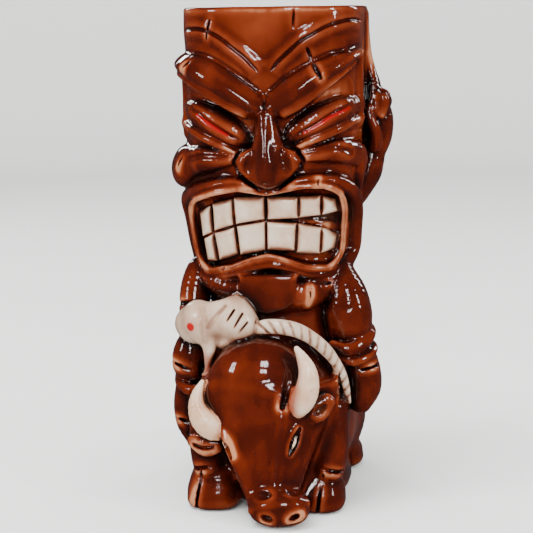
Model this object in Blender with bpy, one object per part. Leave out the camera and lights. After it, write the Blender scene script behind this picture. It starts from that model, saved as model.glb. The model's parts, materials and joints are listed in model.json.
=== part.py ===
"""A glazed ceramic tiki mug: a grimacing carved head, whose rider sits on a bull and grips a bull rope.

The vessel is one hollow turned-and-pressed shell. Everything carved on it is a member luted to its outside:
each is its own solid, with a hairline joint to its neighbours. Sizes are in millimetres until MM turns them
into metres. +X is the viewer's right, -Y is the front, +Z is up, and the origin is on the underside.
"""

import math

import bmesh
import bpy
import numpy as np
from mathutils import Vector

MM = 0.001
HEIGHT = 178.0
WALL = 4.5
FLOOR = 6.0
GAP = 0.3
FURTHEST_ROUND = 0.94
RIM_ROUND = 1.3
FACE_TILT = 0.06
FRONT = (0.0, -1.0, 0.0)
LEFT, RIGHT = -1, 1
SIDES = 12
STEPS = 2
DOME_ANGLES = (50.0,)
LARGEST_SMOOTH_ANGLE = math.radians(50)

# The vessel's outer shape: height, half width, half depth, how far back its centre lies, corner exponent.
VESSEL = (
    (0.0, 25.5, 31.0, 3.0, 2.5),
    (3.0, 27.0, 33.0, 3.0, 2.5),
    (18.0, 28.5, 35.0, 3.0, 2.5),
    (38.0, 28.5, 35.5, 3.0, 2.5),
    (58.0, 27.0, 32.5, 1.5, 2.4),
    (70.0, 25.0, 28.5, 0.0, 2.4),
    (80.0, 25.5, 28.0, 0.0, 2.4),
    (92.0, 28.0, 29.5, 0.0, 2.6),
    (110.0, 31.0, 31.0, 0.0, 2.8),
    (135.0, 32.5, 32.0, 0.0, 2.9),
    (155.0, 33.0, 32.0, 0.0, 3.0),
    (HEIGHT - RIM_ROUND, 33.5, 32.5, 0.0, 3.0),
)
VESSEL_SIDES = 40

GLAZES = {
    "brown_glaze": ((0.32, 0.07, 0.02, 1.0), 0.12),
    "bare_cream": ((0.78, 0.70, 0.58, 1.0), 0.35),
}


# ---------------------------------------------------------------- meshes


def clear_scene():
    for thing in list(bpy.data.objects):
        bpy.data.objects.remove(thing, do_unlink=True)


def make_collection(name):
    made = bpy.data.collections.new(name)
    bpy.context.scene.collection.children.link(made)
    return made


def make_glaze(name):
    colour, roughness = GLAZES[name]
    glaze = bpy.data.materials.new(name)
    glaze.use_nodes = True
    shader = glaze.node_tree.nodes["Principled BSDF"]
    shader.inputs["Base Color"].default_value = colour
    shader.inputs["Roughness"].default_value = roughness
    shader.inputs["Metallic"].default_value = 0.0
    glaze.diffuse_color = colour
    return glaze


def ring_shape(count, corner):
    """Points of a superellipse of half sizes 1 and 1. A corner of 2 is round, and more is squarer."""
    turns = np.arange(count) * 2 * math.pi / count
    power = 2.0 / corner
    across = np.sign(np.cos(turns)) * np.abs(np.cos(turns)) ** power
    along = np.sign(np.sin(turns)) * np.abs(np.sin(turns)) ** power
    return np.stack([across, along], axis=1)


def skin_rings(name, rings, closed=False, poles=None):
    """A mesh with a wall through rings of points. It is capped at each end, on a pole point where there is one."""
    mesh = bmesh.new()
    loops = [[mesh.verts.new(Vector(point) * MM) for point in ring] for ring in rings]
    count = len(loops[0])
    pairs = list(zip(loops, loops[1:]))
    if closed:
        pairs.append((loops[-1], loops[0]))
    for low, high in pairs:
        for i in range(count):
            j = (i + 1) % count
            mesh.faces.new((low[i], low[j], high[j], high[i]))
    if not closed:
        for loop, pole in zip((loops[0], loops[-1]), poles or (None, None)):
            if pole is None:
                mesh.faces.new(loop)
                continue
            tip = mesh.verts.new(Vector(pole) * MM)
            for i in range(count):
                mesh.faces.new((loop[i], loop[(i + 1) % count], tip))
    bmesh.ops.recalc_face_normals(mesh, faces=mesh.faces)
    data = bpy.data.meshes.new(name)
    mesh.to_mesh(data)
    mesh.free()
    return data


def smooth_path(stations, closed):
    """The stations with STEPS - 1 more between each two, on a Catmull-Rom curve through all their numbers."""
    points = np.array(stations, float)
    count = len(points)
    dense = []
    for i in range(count if closed else count - 1):
        if closed:
            before, start, end, after = (points[(i + k) % count] for k in (-1, 0, 1, 2))
        else:
            before, start = points[max(i - 1, 0)], points[i]
            end, after = points[i + 1], points[min(i + 2, count - 1)]
        for t in np.arange(STEPS) / STEPS:
            dense.append(
                0.5 * (2 * start + (end - before) * t
                       + (2 * before - 5 * start + 4 * end - after) * t**2
                       + (3 * start - before - 3 * end + after) * t**3)
            )
    if not closed:
        dense.append(points[-1])
    return np.array(dense)


def unit(vector):
    return vector / np.linalg.norm(vector)


def swept(name, stations, face=FRONT, corner=2.0, closed=False, grow=0.0, sides=SIDES):
    """A bar through stations of (x, y, z, half width, half thickness), with domed ends.
    The thickness lies along face, and the width across it and across the path."""
    path = smooth_path(stations, closed)
    path[:, 3:] += grow
    count = len(path)
    face = np.array(face, float)
    shape = ring_shape(sides, corner)

    def frame_at(i):
        if closed:
            along = path[(i + 1) % count, :3] - path[(i - 1) % count, :3]
        else:
            along = path[min(i + 1, count - 1), :3] - path[max(i - 1, 0), :3]
        along = unit(along)
        thick = unit(face - along * (face @ along))
        return along, unit(np.cross(thick, along)), thick

    def ring_at(i, shift=0.0, shrink=1.0):
        along, wide, thick = frame_at(i)
        centre = path[i, :3] + along * shift
        return (centre + np.outer(shape[:, 0] * path[i, 3] * shrink, wide)
                + np.outer(shape[:, 1] * path[i, 4] * shrink, thick))

    rings = [ring_at(i) for i in range(count)]
    if closed:
        return skin_rings(name, rings, closed=True)
    poles = []
    for i, outward in ((0, -1), (count - 1, 1)):
        reach = min(path[i, 3], path[i, 4])
        dome = [
            ring_at(i, outward * reach * math.sin(math.radians(a)), math.cos(math.radians(a)))
            for a in DOME_ANGLES
        ]
        rings = dome[::-1] + rings if outward < 0 else rings + dome
        poles.append(path[i, :3] + frame_at(i)[0] * reach * outward)
    return skin_rings(name, rings, poles=poles)


def stacked(name, sections, corner=2.4, grow=0.0, sides=SIDES + 4):
    """A body of level sections (z, x, y, half width, half depth), flat at its top and bottom."""
    shape = ring_shape(sides, corner)
    rings = []
    for i, (z, x, y, wide, deep) in enumerate(sections):
        z += {0: -grow, len(sections) - 1: grow}.get(i, 0.0)
        rings.append([
            (x + u * (wide + grow), y + v * (deep + grow), z) for u, v in shape
        ])
    return skin_rings(name, rings)


# ---------------------------------------------------------------- the vessel


def vessel_at(z):
    """Half width, half depth, centre and corner exponent of the vessel's outside at a height."""
    table = np.array(VESSEL)
    return [float(np.interp(z, table[:, 0], table[:, k])) for k in range(1, 5)]


def skin_point(x, z, lift=0.0):
    """A point on the front of the vessel, lifted off it. It follows the wall round to the side."""
    wide, deep, back, corner = vessel_at(z)
    share = min(abs(x) / (wide + lift), FURTHEST_ROUND)
    return (math.copysign(share * (wide + lift), x),
            back - (deep + lift) * (1 - share**corner) ** (1 / corner), z)


def vessel_ring(z, inset):
    wide, deep, back, corner = vessel_at(z)
    return [
        (u * (wide - inset), back + v * (deep - inset), z)
        for u, v in ring_shape(VESSEL_SIDES, corner)
    ]


def vessel_mesh():
    """The hollow cup: up the outside, over the rounded rim and down the inside to a flat floor."""
    levels = [row[0] for row in VESSEL]
    outside = [vessel_ring(z, 0.0) for z in levels]
    rim = [
        [(x, y, HEIGHT) for x, y, _ in vessel_ring(HEIGHT, inset)]
        for inset in (RIM_ROUND, WALL - RIM_ROUND)
    ]
    inside_levels = [z for z in levels if z > FLOOR + 10] + [FLOOR + 3.5]
    inside = [vessel_ring(z, WALL) for z in sorted(inside_levels, reverse=True)]
    floor = [[(x, y, FLOOR) for x, y, _ in vessel_ring(FLOOR, WALL + 3.5)]]
    return skin_rings("mug_shell", outside + rim + inside + floor)


def vessel_cutter():
    """The vessel with no hollow, GAP larger all over, which trims the members that lie on it."""
    levels = [-5.0] + [row[0] for row in VESSEL] + [HEIGHT + 5.0]
    return skin_rings("cut_vessel", [vessel_ring(z, -GAP) for z in levels])


# ---------------------------------------------------------------- members of the face


def tilted(side, x, z):
    """A point of the face pattern on that side: the whole face leans, so its right half is a little higher."""
    return side * x, z + FACE_TILT * side * x


def face_bar(side, pattern, lift, thickness):
    """Stations of a bar that follows the vessel's wall, from (x, z, half height) of the right-hand pattern."""
    stations = []
    for x, z, half in pattern:
        x, z = tilted(side, x, z)
        stations.append((*skin_point(x, z, lift), half, half * thickness))
    return stations


def outward(side, share):
    """A direction between straight ahead and straight out to that side."""
    return (side * share, -math.sqrt(1 - share**2), 0.0)


BROW = ((3.5, 143.5, 4.2), (10, 147.0, 5.4), (17, 151.5, 5.6), (23.5, 155.5, 5.0), (29, 159.0, 4.2), (33, 161.5, 3.0))
EYE = ((8.5, 132.0, 3.6), (13, 135.2, 6.0), (18.5, 139.0, 7.4), (24.5, 142.5, 6.6), (29.5, 145.0, 4.0))
SLIT = ((12, 133.5, 0.7), (18.5, 136.8, 0.8), (25, 140.6, 0.8), (32, 144.0, 0.7))
TEMPLE = ((33, 156.0, 1.8), (33, 150.5, 1.9), (33, 143.0, 1.9), (32.5, 136.0, 1.8), (30, 131.5, 1.5))
CHEEK = ((12.5, 124.5, 4.4), (18, 126.0, 5.2), (24.5, 126.0, 5.6), (30.5, 122.0, 4.8), (33, 115.0, 3.0))
LIP_RIGHT = ((7, 116.2), (14, 118.2), (21, 118.4), (26.4, 115.8), (29.6, 109.5), (30, 101.5), (29, 93.5),
             (25.2, 87.0), (18.6, 85.0), (11, 86.4), (5, 88.2))
LIP_TOP, LIP_BOTTOM = (0, 113.6), (0, 88.8)
LIP_BAND = 3.5
TEETH_EDGES = (0.5, 10.6, 18.4, 24.6)
BITE = (101.8, 99.2, 97.2)
UPPER_TOP = (112.2, 113.4, 110.4)
LOWER_BOTTOM = (92.2, 90.2, 89.6)


def lip_ring():
    """The closed run of the lips, clockwise from the dip under the nose."""
    right = [tilted(RIGHT, x, z) for x, z in LIP_RIGHT]
    left = [tilted(LEFT, x, z) for x, z in reversed(LIP_RIGHT)]
    return [
        (*skin_point(x, z, 0.6), LIP_BAND, LIP_BAND * 1.05)
        for x, z in [LIP_TOP, *right, LIP_BOTTOM, *left]
    ]


def tooth(side, place, low, high, grow=0.0):
    """A block with rounded edges between two heights, at a place counted out from the middle of the mouth."""
    inner, outer = TEETH_EDGES[place], TEETH_EDGES[place + 1] - 0.9
    middle, z = tilted(side, (inner + outer) / 2, (low + high) / 2)
    x, y, _ = skin_point(middle, z, 0.4)
    wide, tall = (outer - inner) / 2, (high - low) / 2 - 0.4
    slope = math.atan2(abs(x), 40.0) * side
    across = np.array((math.cos(slope), math.sin(slope), FACE_TILT))
    stations = [
        (x + across[0] * wide * t, y + across[1] * wide * t, z + across[2] * wide * t, tall * h, 2.4 * h)
        for t, h in ((-0.7, 0.97), (0.0, 1.0), (0.7, 0.97))
    ]
    return dict(stations=stations, face=outward(side, abs(math.sin(slope))), corner=4.0, grow=grow)


# ---------------------------------------------------------------- the list of members

CREAM, BROWN = "bare_cream", "brown_glaze"


def face_members():
    """Carved members of the head, each as (name, glaze, maker, its sizes)."""
    members = [
        ("nose", BROWN, stacked, dict(corner=2.2, sections=(
            (112.2, 0, -31, 3.6, 6.0), (115, 0, -31, 6.4, 8.6), (118.5, 0, -31, 10.4, 9.8), (122, 0, -31, 11.6, 9.4),
            (125, 0, -31, 9.6, 8.4), (129, 0, -31, 6.6, 7.6), (135, 0, -31, 5.0, 6.2), (140.5, 0, -31, 3.8, 4.6)))),
        ("mouth_frame", BROWN, swept, dict(stations=lip_ring(), closed=True, corner=2.3)),
    ]
    for side, word in ((LEFT, "left"), (RIGHT, "right")):
        members += [
            (f"brow_{word}", BROWN, swept, dict(stations=face_bar(side, BROW, 0.8, 0.85), face=outward(side, 0.35))),
            (f"eye_{word}", BROWN, swept, dict(stations=face_bar(side, EYE, -1.6, 0.72), face=outward(side, 0.35))),
            (f"cheek_{word}", BROWN, swept, dict(stations=face_bar(side, CHEEK, -0.8, 0.85), face=outward(side, 0.4))),
            (f"temple_{word}", BROWN, swept, dict(stations=face_bar(side, TEMPLE, 0.3, 1.0), face=outward(side, 0.7))),
        ]
        for place, (low, high, foot) in enumerate(zip(BITE, UPPER_TOP, LOWER_BOTTOM)):
            number = place + 1
            members.append((f"tooth_upper_{word}_{number}", CREAM, swept, tooth(side, place, low + 0.3, high)))
            members.append((f"tooth_lower_{word}_{number}", CREAM, swept, tooth(side, place, foot, low - 0.3)))
    members += [
        ("chin", BROWN, stacked, dict(corner=2.6, sections=(
            (68.0, 0, -21, 12, 9.0), (72.5, 0, -21, 18.5, 11.6), (79, 0, -20, 22.5, 12.6), (85, 0, -20, 24.0, 11.6)))),
        ("goatee", BROWN, stacked, dict(corner=3.0, sections=(
            (66.2, 1, -30, 7, 3.4), (69, 1, -31, 11, 4.4), (75, 1, -31.4, 13.0, 4.8), (81.5, 1, -31, 13.2, 4.4)))),
    ]
    return members


def rider_members():
    """Arms, gloved hand, rope and legs of the rider."""
    rope = ((-17.5, -36.5, 48, 2.2, 2.0), (-19, -37.5, 55, 2.6, 2.0), (-14, -38, 63, 3.0, 2.0), (-4, -38, 66.5, 3.1, 2.0),
            (6, -37.8, 66.6, 3.1, 2.0), (14, -36.8, 64, 3.1, 2.0), (20.5, -34.8, 58.5, 3.0, 2.0),
            (25.2, -32, 51, 2.9, 2.0), (28.2, -28.6, 42.5, 2.7, 2.0), (29.5, -25.5, 34, 2.4, 2.0))
    return [
        ("glove_hand", CREAM, swept, dict(stations=(
            (-18, -36.5, 63.5, 6.2, 5.6), (-13, -38.5, 66, 7.6, 6.4), (-8, -39, 68, 8.2, 6.6), (-4.2, -38.5, 68.6, 6.6, 5.6)))),
        ("glove_cuff", CREAM, swept, dict(stations=(
            (-27, -26, 64.5, 6.6, 6.6), (-23.5, -31, 63.8, 7.6, 6.6), (-20.5, -34.5, 63.2, 6.8, 5.8)))),
        ("rein_arm", BROWN, swept, dict(stations=(
            (-26, -13.5, 87.5, 3.0, 3.6), (-28, -16, 82.5, 5.2, 5.8), (-29.5, -17.5, 75, 5.8, 7.0), (-29.5, -20, 68, 5.6, 7.0)))),
        ("raised_fingers", BROWN, swept, dict(corner=3.2, face=(1, 0, 0), stations=(
            (37, -2.6, 143.4, 4.0, 4.8), (37.4, 3.0, 144.6, 4.0, 5.0), (37, 9, 143.4, 4.0, 4.6)))),
        ("raised_hand", BROWN, swept, dict(face=(1, 0, 0), stations=(
            (34.6, 3.6, 126.5, 5.0, 5.0), (36.0, 3.2, 132, 6.8, 6.0), (36.2, 3.4, 138.5, 7.6, 6.0), (34.2, 4.8, 150, 6.2, 3.6)))),
        ("raised_forearm", BROWN, swept, dict(face=(1, 0, 0), stations=(
            (26.5, 1, 96, 3.2, 3.4), (31, 3, 103.5, 6.0, 5.2), (34.0, 4, 112, 7.2, 6.2), (34.2, 4, 120.5, 6.2, 5.4)))),
        ("bull_rope", CREAM, swept, dict(stations=rope, corner=3.0, sides=10)),
        ("thigh_right", BROWN, swept, dict(stations=(
            (26.5, -11, 89, 2.8, 3.6), (27, -15.5, 82, 6.6, 7.0), (28, -19, 74, 8.8, 8.4), (28.8, -20.4, 67.6, 8.8, 8.4)))),
        ("thigh_left", BROWN, swept, dict(stations=(
            (-26.5, -21, 60, 4.6, 6.0), (-28.5, -23.5, 54.5, 5.6, 6.2), (-28.3, -24, 50.5, 5.6, 6.0)))),
        ("knee_cuff_right", BROWN, swept, dict(face=(0, 0, 1), stations=(
            (22, -28.5, 55.4, 2.0, 2.2), (28, -28, 55.6, 2.8, 2.8), (34, -24, 57.2, 3.0, 3.0),
            (37, -17, 60.4, 2.8, 3.0), (35, -9, 64, 2.4, 2.4)))),
        ("knee_cuff_left", BROWN, swept, dict(face=(0, 0, 1), stations=(
            (-22.5, -31, 43.4, 2.0, 2.2), (-28, -29.5, 43.8, 2.4, 2.4), (-32.6, -24.5, 46.4, 2.4, 2.4),
            (-33.4, -17, 50, 2.2, 2.4)))),
        ("boot_right", BROWN, swept, dict(stations=(
            (30.5, -20, 48.6, 6.6, 7.0), (32, -19.5, 43, 6.6, 7.0), (31.6, -20.5, 37.4, 5.2, 6.6)))),
        ("boot_left", BROWN, swept, dict(stations=(
            (-28.8, -20.5, 38.4, 5.2, 6.2), (-29.4, -20, 33.5, 5.0, 6.2), (-27.6, -22.5, 28, 4.0, 5.4)))),
    ]


def bull_members():
    """The bull under the rider: head, horns, ears, eyes, neck, legs, hooves and tail."""
    head = ((-0.5, -37, 58.5, 8.5, 6.5), (-1.5, -39.5, 50, 14.6, 8.0), (-1.5, -42, 42, 16.0, 9.0), (0.5, -44.5, 33.5, 16.4, 9.4),
            (2.8, -47.5, 25.5, 15.2, 9.2), (4.4, -50.6, 18, 12.2, 8.4), (5.8, -53.4, 11.6, 9.8, 7.6), (6.4, -55.0, 8.2, 10.4, 7.2))
    neck = ((11, 0, -24, 25, 13), (20, 1, -25, 26.6, 15.5), (32, 1, -26, 27.2, 17.5), (42, 1, -26, 25.4, 17.6),
            (51, 1, -26, 21, 16.4), (58.5, 1, -26, 15, 14), (63.5, 1, -26, 8.6, 11))
    members = [
        ("horn_right", CREAM, swept, dict(stations=(
            (12.5, -47, 37.5, 4.0, 4.0), (17.5, -48.8, 43, 4.4, 4.2), (20, -48.6, 50, 3.8, 3.6), (18, -47.4, 56.6, 2.8, 2.6),
            (14.5, -46.4, 60.6, 1.4, 1.4)))),
        ("horn_left", CREAM, swept, dict(stations=(
            (-13.5, -45.5, 27.2, 4.0, 4.0), (-20.2, -46, 30, 4.4, 4.2), (-23.8, -44.6, 36.4, 3.8, 3.6), (-23.2, -43, 43, 2.8, 2.6),
            (-20.6, -42.2, 47.4, 1.4, 1.4)))),
        ("bull_eye_right", CREAM, swept, dict(face=(0.7, -0.7, 0), sides=10, stations=(
            (14.2, -55.2, 22.6, 1.0, 1.0), (13.6, -55.2, 24.8, 1.6, 1.6), (13.0, -54.8, 27.2, 1.0, 1.0)))),
        ("bull_eye_left", CREAM, swept, dict(face=(-0.7, -0.7, 0), sides=10, stations=(
            (-7.4, -55.2, 19.6, 1.0, 1.0), (-8.2, -54.6, 21.8, 1.6, 1.6), (-9.0, -53.8, 24.2, 1.0, 1.0)))),
        ("bull_head", BROWN, swept, dict(stations=head, corner=2.5, sides=18, face=(0, -0.9, 0.4))),
        ("bull_ear_right", BROWN, swept, dict(stations=(
            (15.5, -42, 36, 3.2, 2.4), (19.5, -40.6, 38.4, 4.4, 2.8), (22.5, -38.6, 40.4, 3.0, 2.2)))),
        ("bull_ear_left", BROWN, swept, dict(stations=(
            (-17, -41.5, 23.4, 3.2, 2.4), (-21.5, -39.6, 22.6, 4.4, 2.8), (-25.6, -36.6, 22.4, 3.0, 2.2)))),
        ("bull_neck", BROWN, stacked, dict(sections=neck, corner=2.2, sides=24)),
        ("bull_tail", BROWN, swept, dict(face=(0, 1, 0), sides=10, stations=(
            (0, 35, 55, 2.4, 2.4), (2, 38, 46, 2.2, 2.2), (6, 39, 36, 2.0, 2.0), (9, 38.5, 27, 2.4, 2.2), (9.5, 38.2, 19, 3.8, 2.6),
            (8, 38, 12, 2.0, 1.8)))),
    ]
    for side, word, foot in ((LEFT, "left", -18.5), (RIGHT, "right", 19.5)):
        members += [
            (f"hoof_front_{word}", BROWN, stacked, dict(corner=2.6, sections=(
                (0, foot, -33, 9.6, 9.2), (2.5, foot, -33, 10.8, 10.6), (6.5, foot, -32.5, 10.6, 10.4),
                (10.5, foot, -31.5, 9.0, 8.6), (13, foot, -31, 6.4, 6.4)))),
            (f"foreleg_{word}", BROWN, swept, dict(stations=(
                (side * 22.8, -31, 30, 5.8, 6.4), (side * 22.4, -33.6, 23, 6.2, 6.6), (side * 21.6, -34.4, 17.6, 5.8, 6.2)))),
            (f"hoof_rear_{word}", BROWN, stacked, dict(corner=2.6, sections=(
                (0, side * 20, 27, 9.0, 9.4), (2.5, side * 20, 27, 10.2, 10.6), (7, side * 20, 26.6, 9.6, 10.0),
                (11, side * 20, 26, 7.0, 7.6)))),
            (f"haunch_{word}", BROWN, swept, dict(face=(side, 0, 0), stations=(
                (side * 22, 20, 14, 7.5, 5.5), (side * 23, 17, 22, 11, 8.0), (side * 22.5, 13, 32, 12, 8.0),
                (side * 20.5, 10, 40, 8, 6.5)))),
        ]
    return members


# ---------------------------------------------------------------- trimming and assembly


def overlapping(first, second):
    """Whether two meshes' boxes share any space."""
    boxes = []
    for data in (first, second):
        points = np.empty(len(data.vertices) * 3)
        data.vertices.foreach_get("co", points)
        points = points.reshape(-1, 3)
        boxes.append((points.min(axis=0), points.max(axis=0)))
    (low_a, high_a), (low_b, high_b) = boxes
    return bool((low_a < high_b).all() and (low_b < high_a).all())


def keep_largest(data):
    """Drops the offcuts that trimming leaves, and keeps the one largest body."""
    mesh = bmesh.new()
    mesh.from_mesh(data)
    waiting = set(mesh.verts)
    islands = []
    while waiting:
        island, edge_of = set(), [waiting.pop()]
        while edge_of:
            vertex = edge_of.pop()
            island.add(vertex)
            for link in vertex.link_edges:
                other = link.other_vert(vertex)
                if other in waiting:
                    waiting.discard(other)
                    edge_of.append(other)
        islands.append(island)

    def spread(island):
        points = np.array([vertex.co for vertex in island])
        return float(np.prod(points.max(axis=0) - points.min(axis=0)))

    largest = max(islands, key=spread)
    offcuts = [vertex for vertex in mesh.verts if vertex not in largest]
    bmesh.ops.delete(mesh, geom=offcuts, context="VERTS")
    mesh.to_mesh(data)
    mesh.free()


def trimmed(data, cutters):
    """A copy of the mesh with the cutters' shapes taken out of it."""
    body = bpy.data.objects.new("trim", data)
    bpy.context.scene.collection.objects.link(body)
    for cutter in cutters:
        cut = body.modifiers.new("cut", "BOOLEAN")
        cut.operation = "DIFFERENCE"
        cut.object = cutter
    bpy.context.view_layer.update()
    graph = bpy.context.evaluated_depsgraph_get()
    result = bpy.data.meshes.new_from_object(body.evaluated_get(graph))
    bpy.data.objects.remove(body, do_unlink=True)
    keep_largest(result)
    return result


def add_object(name, data, collection, glaze=None):
    thing = bpy.data.objects.new(name, data)
    collection.objects.link(thing)
    if glaze is None:
        thing.hide_render = True
        thing.display_type = "WIRE"
    else:
        data.materials.clear()
        data.materials.append(glaze)
        data.shade_smooth()
        data.set_sharp_from_angle(angle=LARGEST_SMOOTH_ANGLE)
    return thing


def main():
    clear_scene()
    parts = make_collection("tiki_mug")
    helpers = make_collection("cutters")
    glazes = {name: make_glaze(name) for name in GLAZES}
    add_object("mug_shell", vessel_mesh(), parts, glazes[BROWN])
    cutters = [add_object("cut_vessel", vessel_cutter(), helpers)]
    for side, word in ((LEFT, "left"), (RIGHT, "right")):
        groove = swept(f"cut_slit_{word}", face_bar(side, SLIT, 4.2, 1.0), sides=8)
        add_object(f"cut_slit_{word}", groove, helpers)
    for name, glaze, maker, sizes in face_members() + rider_members() + bull_members():
        raw = maker(name, **sizes)
        near = [cutter for cutter in cutters if overlapping(raw, cutter.data)]
        if name.startswith("eye_"):
            near.append(bpy.data.objects[name.replace("eye_", "cut_slit_")])
        add_object(name, trimmed(raw, near), parts, glazes[glaze])
        grown = maker(f"cut_{name}", **{**sizes, "grow": GAP})
        cutters.append(add_object(f"cut_{name}", grown, helpers))


main()
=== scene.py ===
"""The looks of a glazed ceramic tiki mug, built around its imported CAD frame.

The mug is sculpted as one solid: every member is a distance function in millimetres, and they are joined with
small fillets, as wet clay is. That solid is then divided into one closed piece for each CAD node. Where two
pieces meet, both follow the same surface, so the glaze runs across the joint.
"""

import json
import math
from concurrent.futures import ThreadPoolExecutor

import bpy
import numpy as np
from mathutils import Matrix, Vector

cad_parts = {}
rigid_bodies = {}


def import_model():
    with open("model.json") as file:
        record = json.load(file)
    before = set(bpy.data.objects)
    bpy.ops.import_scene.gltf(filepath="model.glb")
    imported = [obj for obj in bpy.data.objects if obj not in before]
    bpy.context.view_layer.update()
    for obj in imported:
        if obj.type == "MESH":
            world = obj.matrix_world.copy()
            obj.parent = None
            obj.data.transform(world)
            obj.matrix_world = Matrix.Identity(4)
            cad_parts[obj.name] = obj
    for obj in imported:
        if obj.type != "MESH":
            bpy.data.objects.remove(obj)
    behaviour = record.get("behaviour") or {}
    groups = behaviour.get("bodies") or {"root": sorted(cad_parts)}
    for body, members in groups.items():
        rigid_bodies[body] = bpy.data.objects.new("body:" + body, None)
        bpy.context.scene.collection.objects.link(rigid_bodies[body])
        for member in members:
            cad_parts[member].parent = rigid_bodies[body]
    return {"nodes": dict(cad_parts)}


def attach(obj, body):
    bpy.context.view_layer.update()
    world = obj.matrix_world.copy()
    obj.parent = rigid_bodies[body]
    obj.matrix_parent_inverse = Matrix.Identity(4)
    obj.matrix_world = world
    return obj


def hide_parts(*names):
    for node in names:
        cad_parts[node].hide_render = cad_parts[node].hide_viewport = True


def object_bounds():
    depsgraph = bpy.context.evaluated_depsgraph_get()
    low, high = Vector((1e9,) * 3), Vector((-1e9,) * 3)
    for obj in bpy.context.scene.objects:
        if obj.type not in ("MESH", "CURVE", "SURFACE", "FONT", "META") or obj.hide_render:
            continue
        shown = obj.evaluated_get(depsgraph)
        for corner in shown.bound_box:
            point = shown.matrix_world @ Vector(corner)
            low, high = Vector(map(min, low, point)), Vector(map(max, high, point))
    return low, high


for leftover in list(bpy.data.objects):
    bpy.data.objects.remove(leftover, do_unlink=True)
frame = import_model()
CAD_BOX = [list(corner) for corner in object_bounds()]

# Lengths are in millimetres of the design, and MM turns them into the frame's metres.
DESIGN_HEIGHT = 178.0
MM = (CAD_BOX[1][2] - CAD_BOX[0][2]) / DESIGN_HEIGHT
FRONT = (0.0, -1.0, 0.0)
UP = (0.0, 0.0, 1.0)
WALL, FLOOR = 4.5, 6.0
RIM_TUCK = 0.8

# A shape's distance is worked out only within its reach, and stands at FAR beyond it.
FAR, REACH, FINE_REACH = 60.0, 6.0, 3.0
# Neighbouring pieces overlap by about this much, and each sinks that little as it nears its end there.
OVERLAP, SINK = 1.2, 0.06
COARSENESS = 1.0

# ---------------------------------------------------------------- the vessel, read from the frame

SQUARENESS_AT = ((0.0, 2.5), (70.0, 2.4), (92.0, 2.6), (110.0, 2.8), (DESIGN_HEIGHT, 3.0))


RING_TOLERANCE, RING_DIP = 0.06, 0.6
PROFILE_MARGIN, SMOOTHING = 12, 4.0


def shell_profile():
    """Height, half width, half depth and centre of the shell's outside: its CAD mesh's rings, smoothed."""
    points = np.array([v.co for v in frame["nodes"]["mug_shell"].data.vertices]) / MM
    rings = []
    for height in np.unique(points[:, 2].round(1)):
        ring = points[np.abs(points[:, 2] - height) < RING_TOLERANCE]
        rings.append((height, ring[:, 0].max(), ring[:, 1].min(), ring[:, 1].max()))
    rings = np.array(rings)
    # A ring much narrower than both its neighbours belongs to the cup's inside.
    outside = [0] + [
        i for i in range(1, len(rings) - 1)
        if rings[i, 1] > min(rings[i - 1, 1], rings[i + 1, 1]) - RING_DIP
    ]
    rings = rings[outside]
    margin = PROFILE_MARGIN
    heights = np.arange(-float(margin), DESIGN_HEIGHT + margin, 1.0)
    window = np.exp(-0.5 * (np.arange(-margin, margin + 1) / SMOOTHING) ** 2)
    window /= window.sum()
    columns = [heights]
    for values in (rings[:, 1], (rings[:, 3] - rings[:, 2]) / 2, (rings[:, 3] + rings[:, 2]) / 2):
        line = np.interp(heights, rings[:, 0], values)
        columns.append(np.convolve(np.pad(line, margin, mode="edge"), window, mode="valid"))
    return np.array(columns)


PROFILE = shell_profile()


def section_at(z):
    """Half width, half depth, centre and squareness of the vessel's outside at those heights."""
    wide, deep, back = (np.interp(z, PROFILE[0], PROFILE[k]) for k in (1, 2, 3))
    wide = wide - RIM_TUCK * np.clip((z - 110) / 50, 0, 1)
    squareness = np.interp(z, *zip(*SQUARENESS_AT))
    return wide, deep, back, squareness


def wall_distance(x, y, z):
    """Distance from the vessel's outer wall, which is negative inside it."""
    wide, deep, back, corner = section_at(z)
    a = np.maximum(np.abs(x) / wide, 1e-4)
    b = np.maximum(np.abs(y - back) / deep, 1e-4)
    k = (a**corner + b**corner) ** (1 / corner)
    slope = np.sqrt(((a / k) ** (corner - 1) / wide) ** 2 + ((b / k) ** (corner - 1) / deep) ** 2)
    return ((k - 1) / slope).astype(np.float32)


def on_wall(x, z, lift=0.0):
    """A point of the wall's front at that x and z, raised from it by lift, and the wall's normal there."""
    wide, deep, back, corner = (float(v) for v in section_at(z))
    share = min(abs(x) / (wide + lift), 0.97)
    y = back - (deep + lift) * (1 - share**corner) ** (1 / corner)
    across = math.copysign((share ** (corner - 1)) / wide, x)
    ahead = -((abs(y - back) / (deep + lift)) ** (corner - 1)) / deep
    size = math.hypot(across, ahead)
    return (math.copysign(share * (wide + lift), x), y, z), (across / size, ahead / size, 0.0)


# ---------------------------------------------------------------- shapes, as distance functions


def unit(vector):
    """The vector scaled to a length of 1."""
    vector = np.asarray(vector, float)
    return vector / max(np.linalg.norm(vector), 1e-9)


def smooth_min(a, b, blend):
    """The lesser of two distances, with a fillet about that wide where they cross."""
    h = np.clip(0.5 + 0.5 * (b - a) / blend, 0, 1)
    return b + (a - b) * h - blend * h * (1 - h)


def smooth_max(a, b, blend):
    """The greater of two distances, with an edge rounded about that widely where they cross."""
    return -smooth_min(-a, -b, blend)


def egg_distance(parts, radii, corner):
    """Distance from a superellipsoid, or in two axes a superellipse, for points given along its own axes."""
    scaled = [np.maximum(np.abs(q / r), 1e-4) for q, r in zip(parts, radii)]
    if corner == 2.0:
        k = np.sqrt(sum(s * s for s in scaled))
        slope = np.sqrt(sum((s / r) ** 2 for s, r in zip(scaled, radii))) / k
    else:
        k = sum(s**corner for s in scaled) ** (1 / corner)
        slope = np.sqrt(sum(((s / k) ** (corner - 1) / r) ** 2 for s, r in zip(scaled, radii)))
    return (k - 1) / slope


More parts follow.
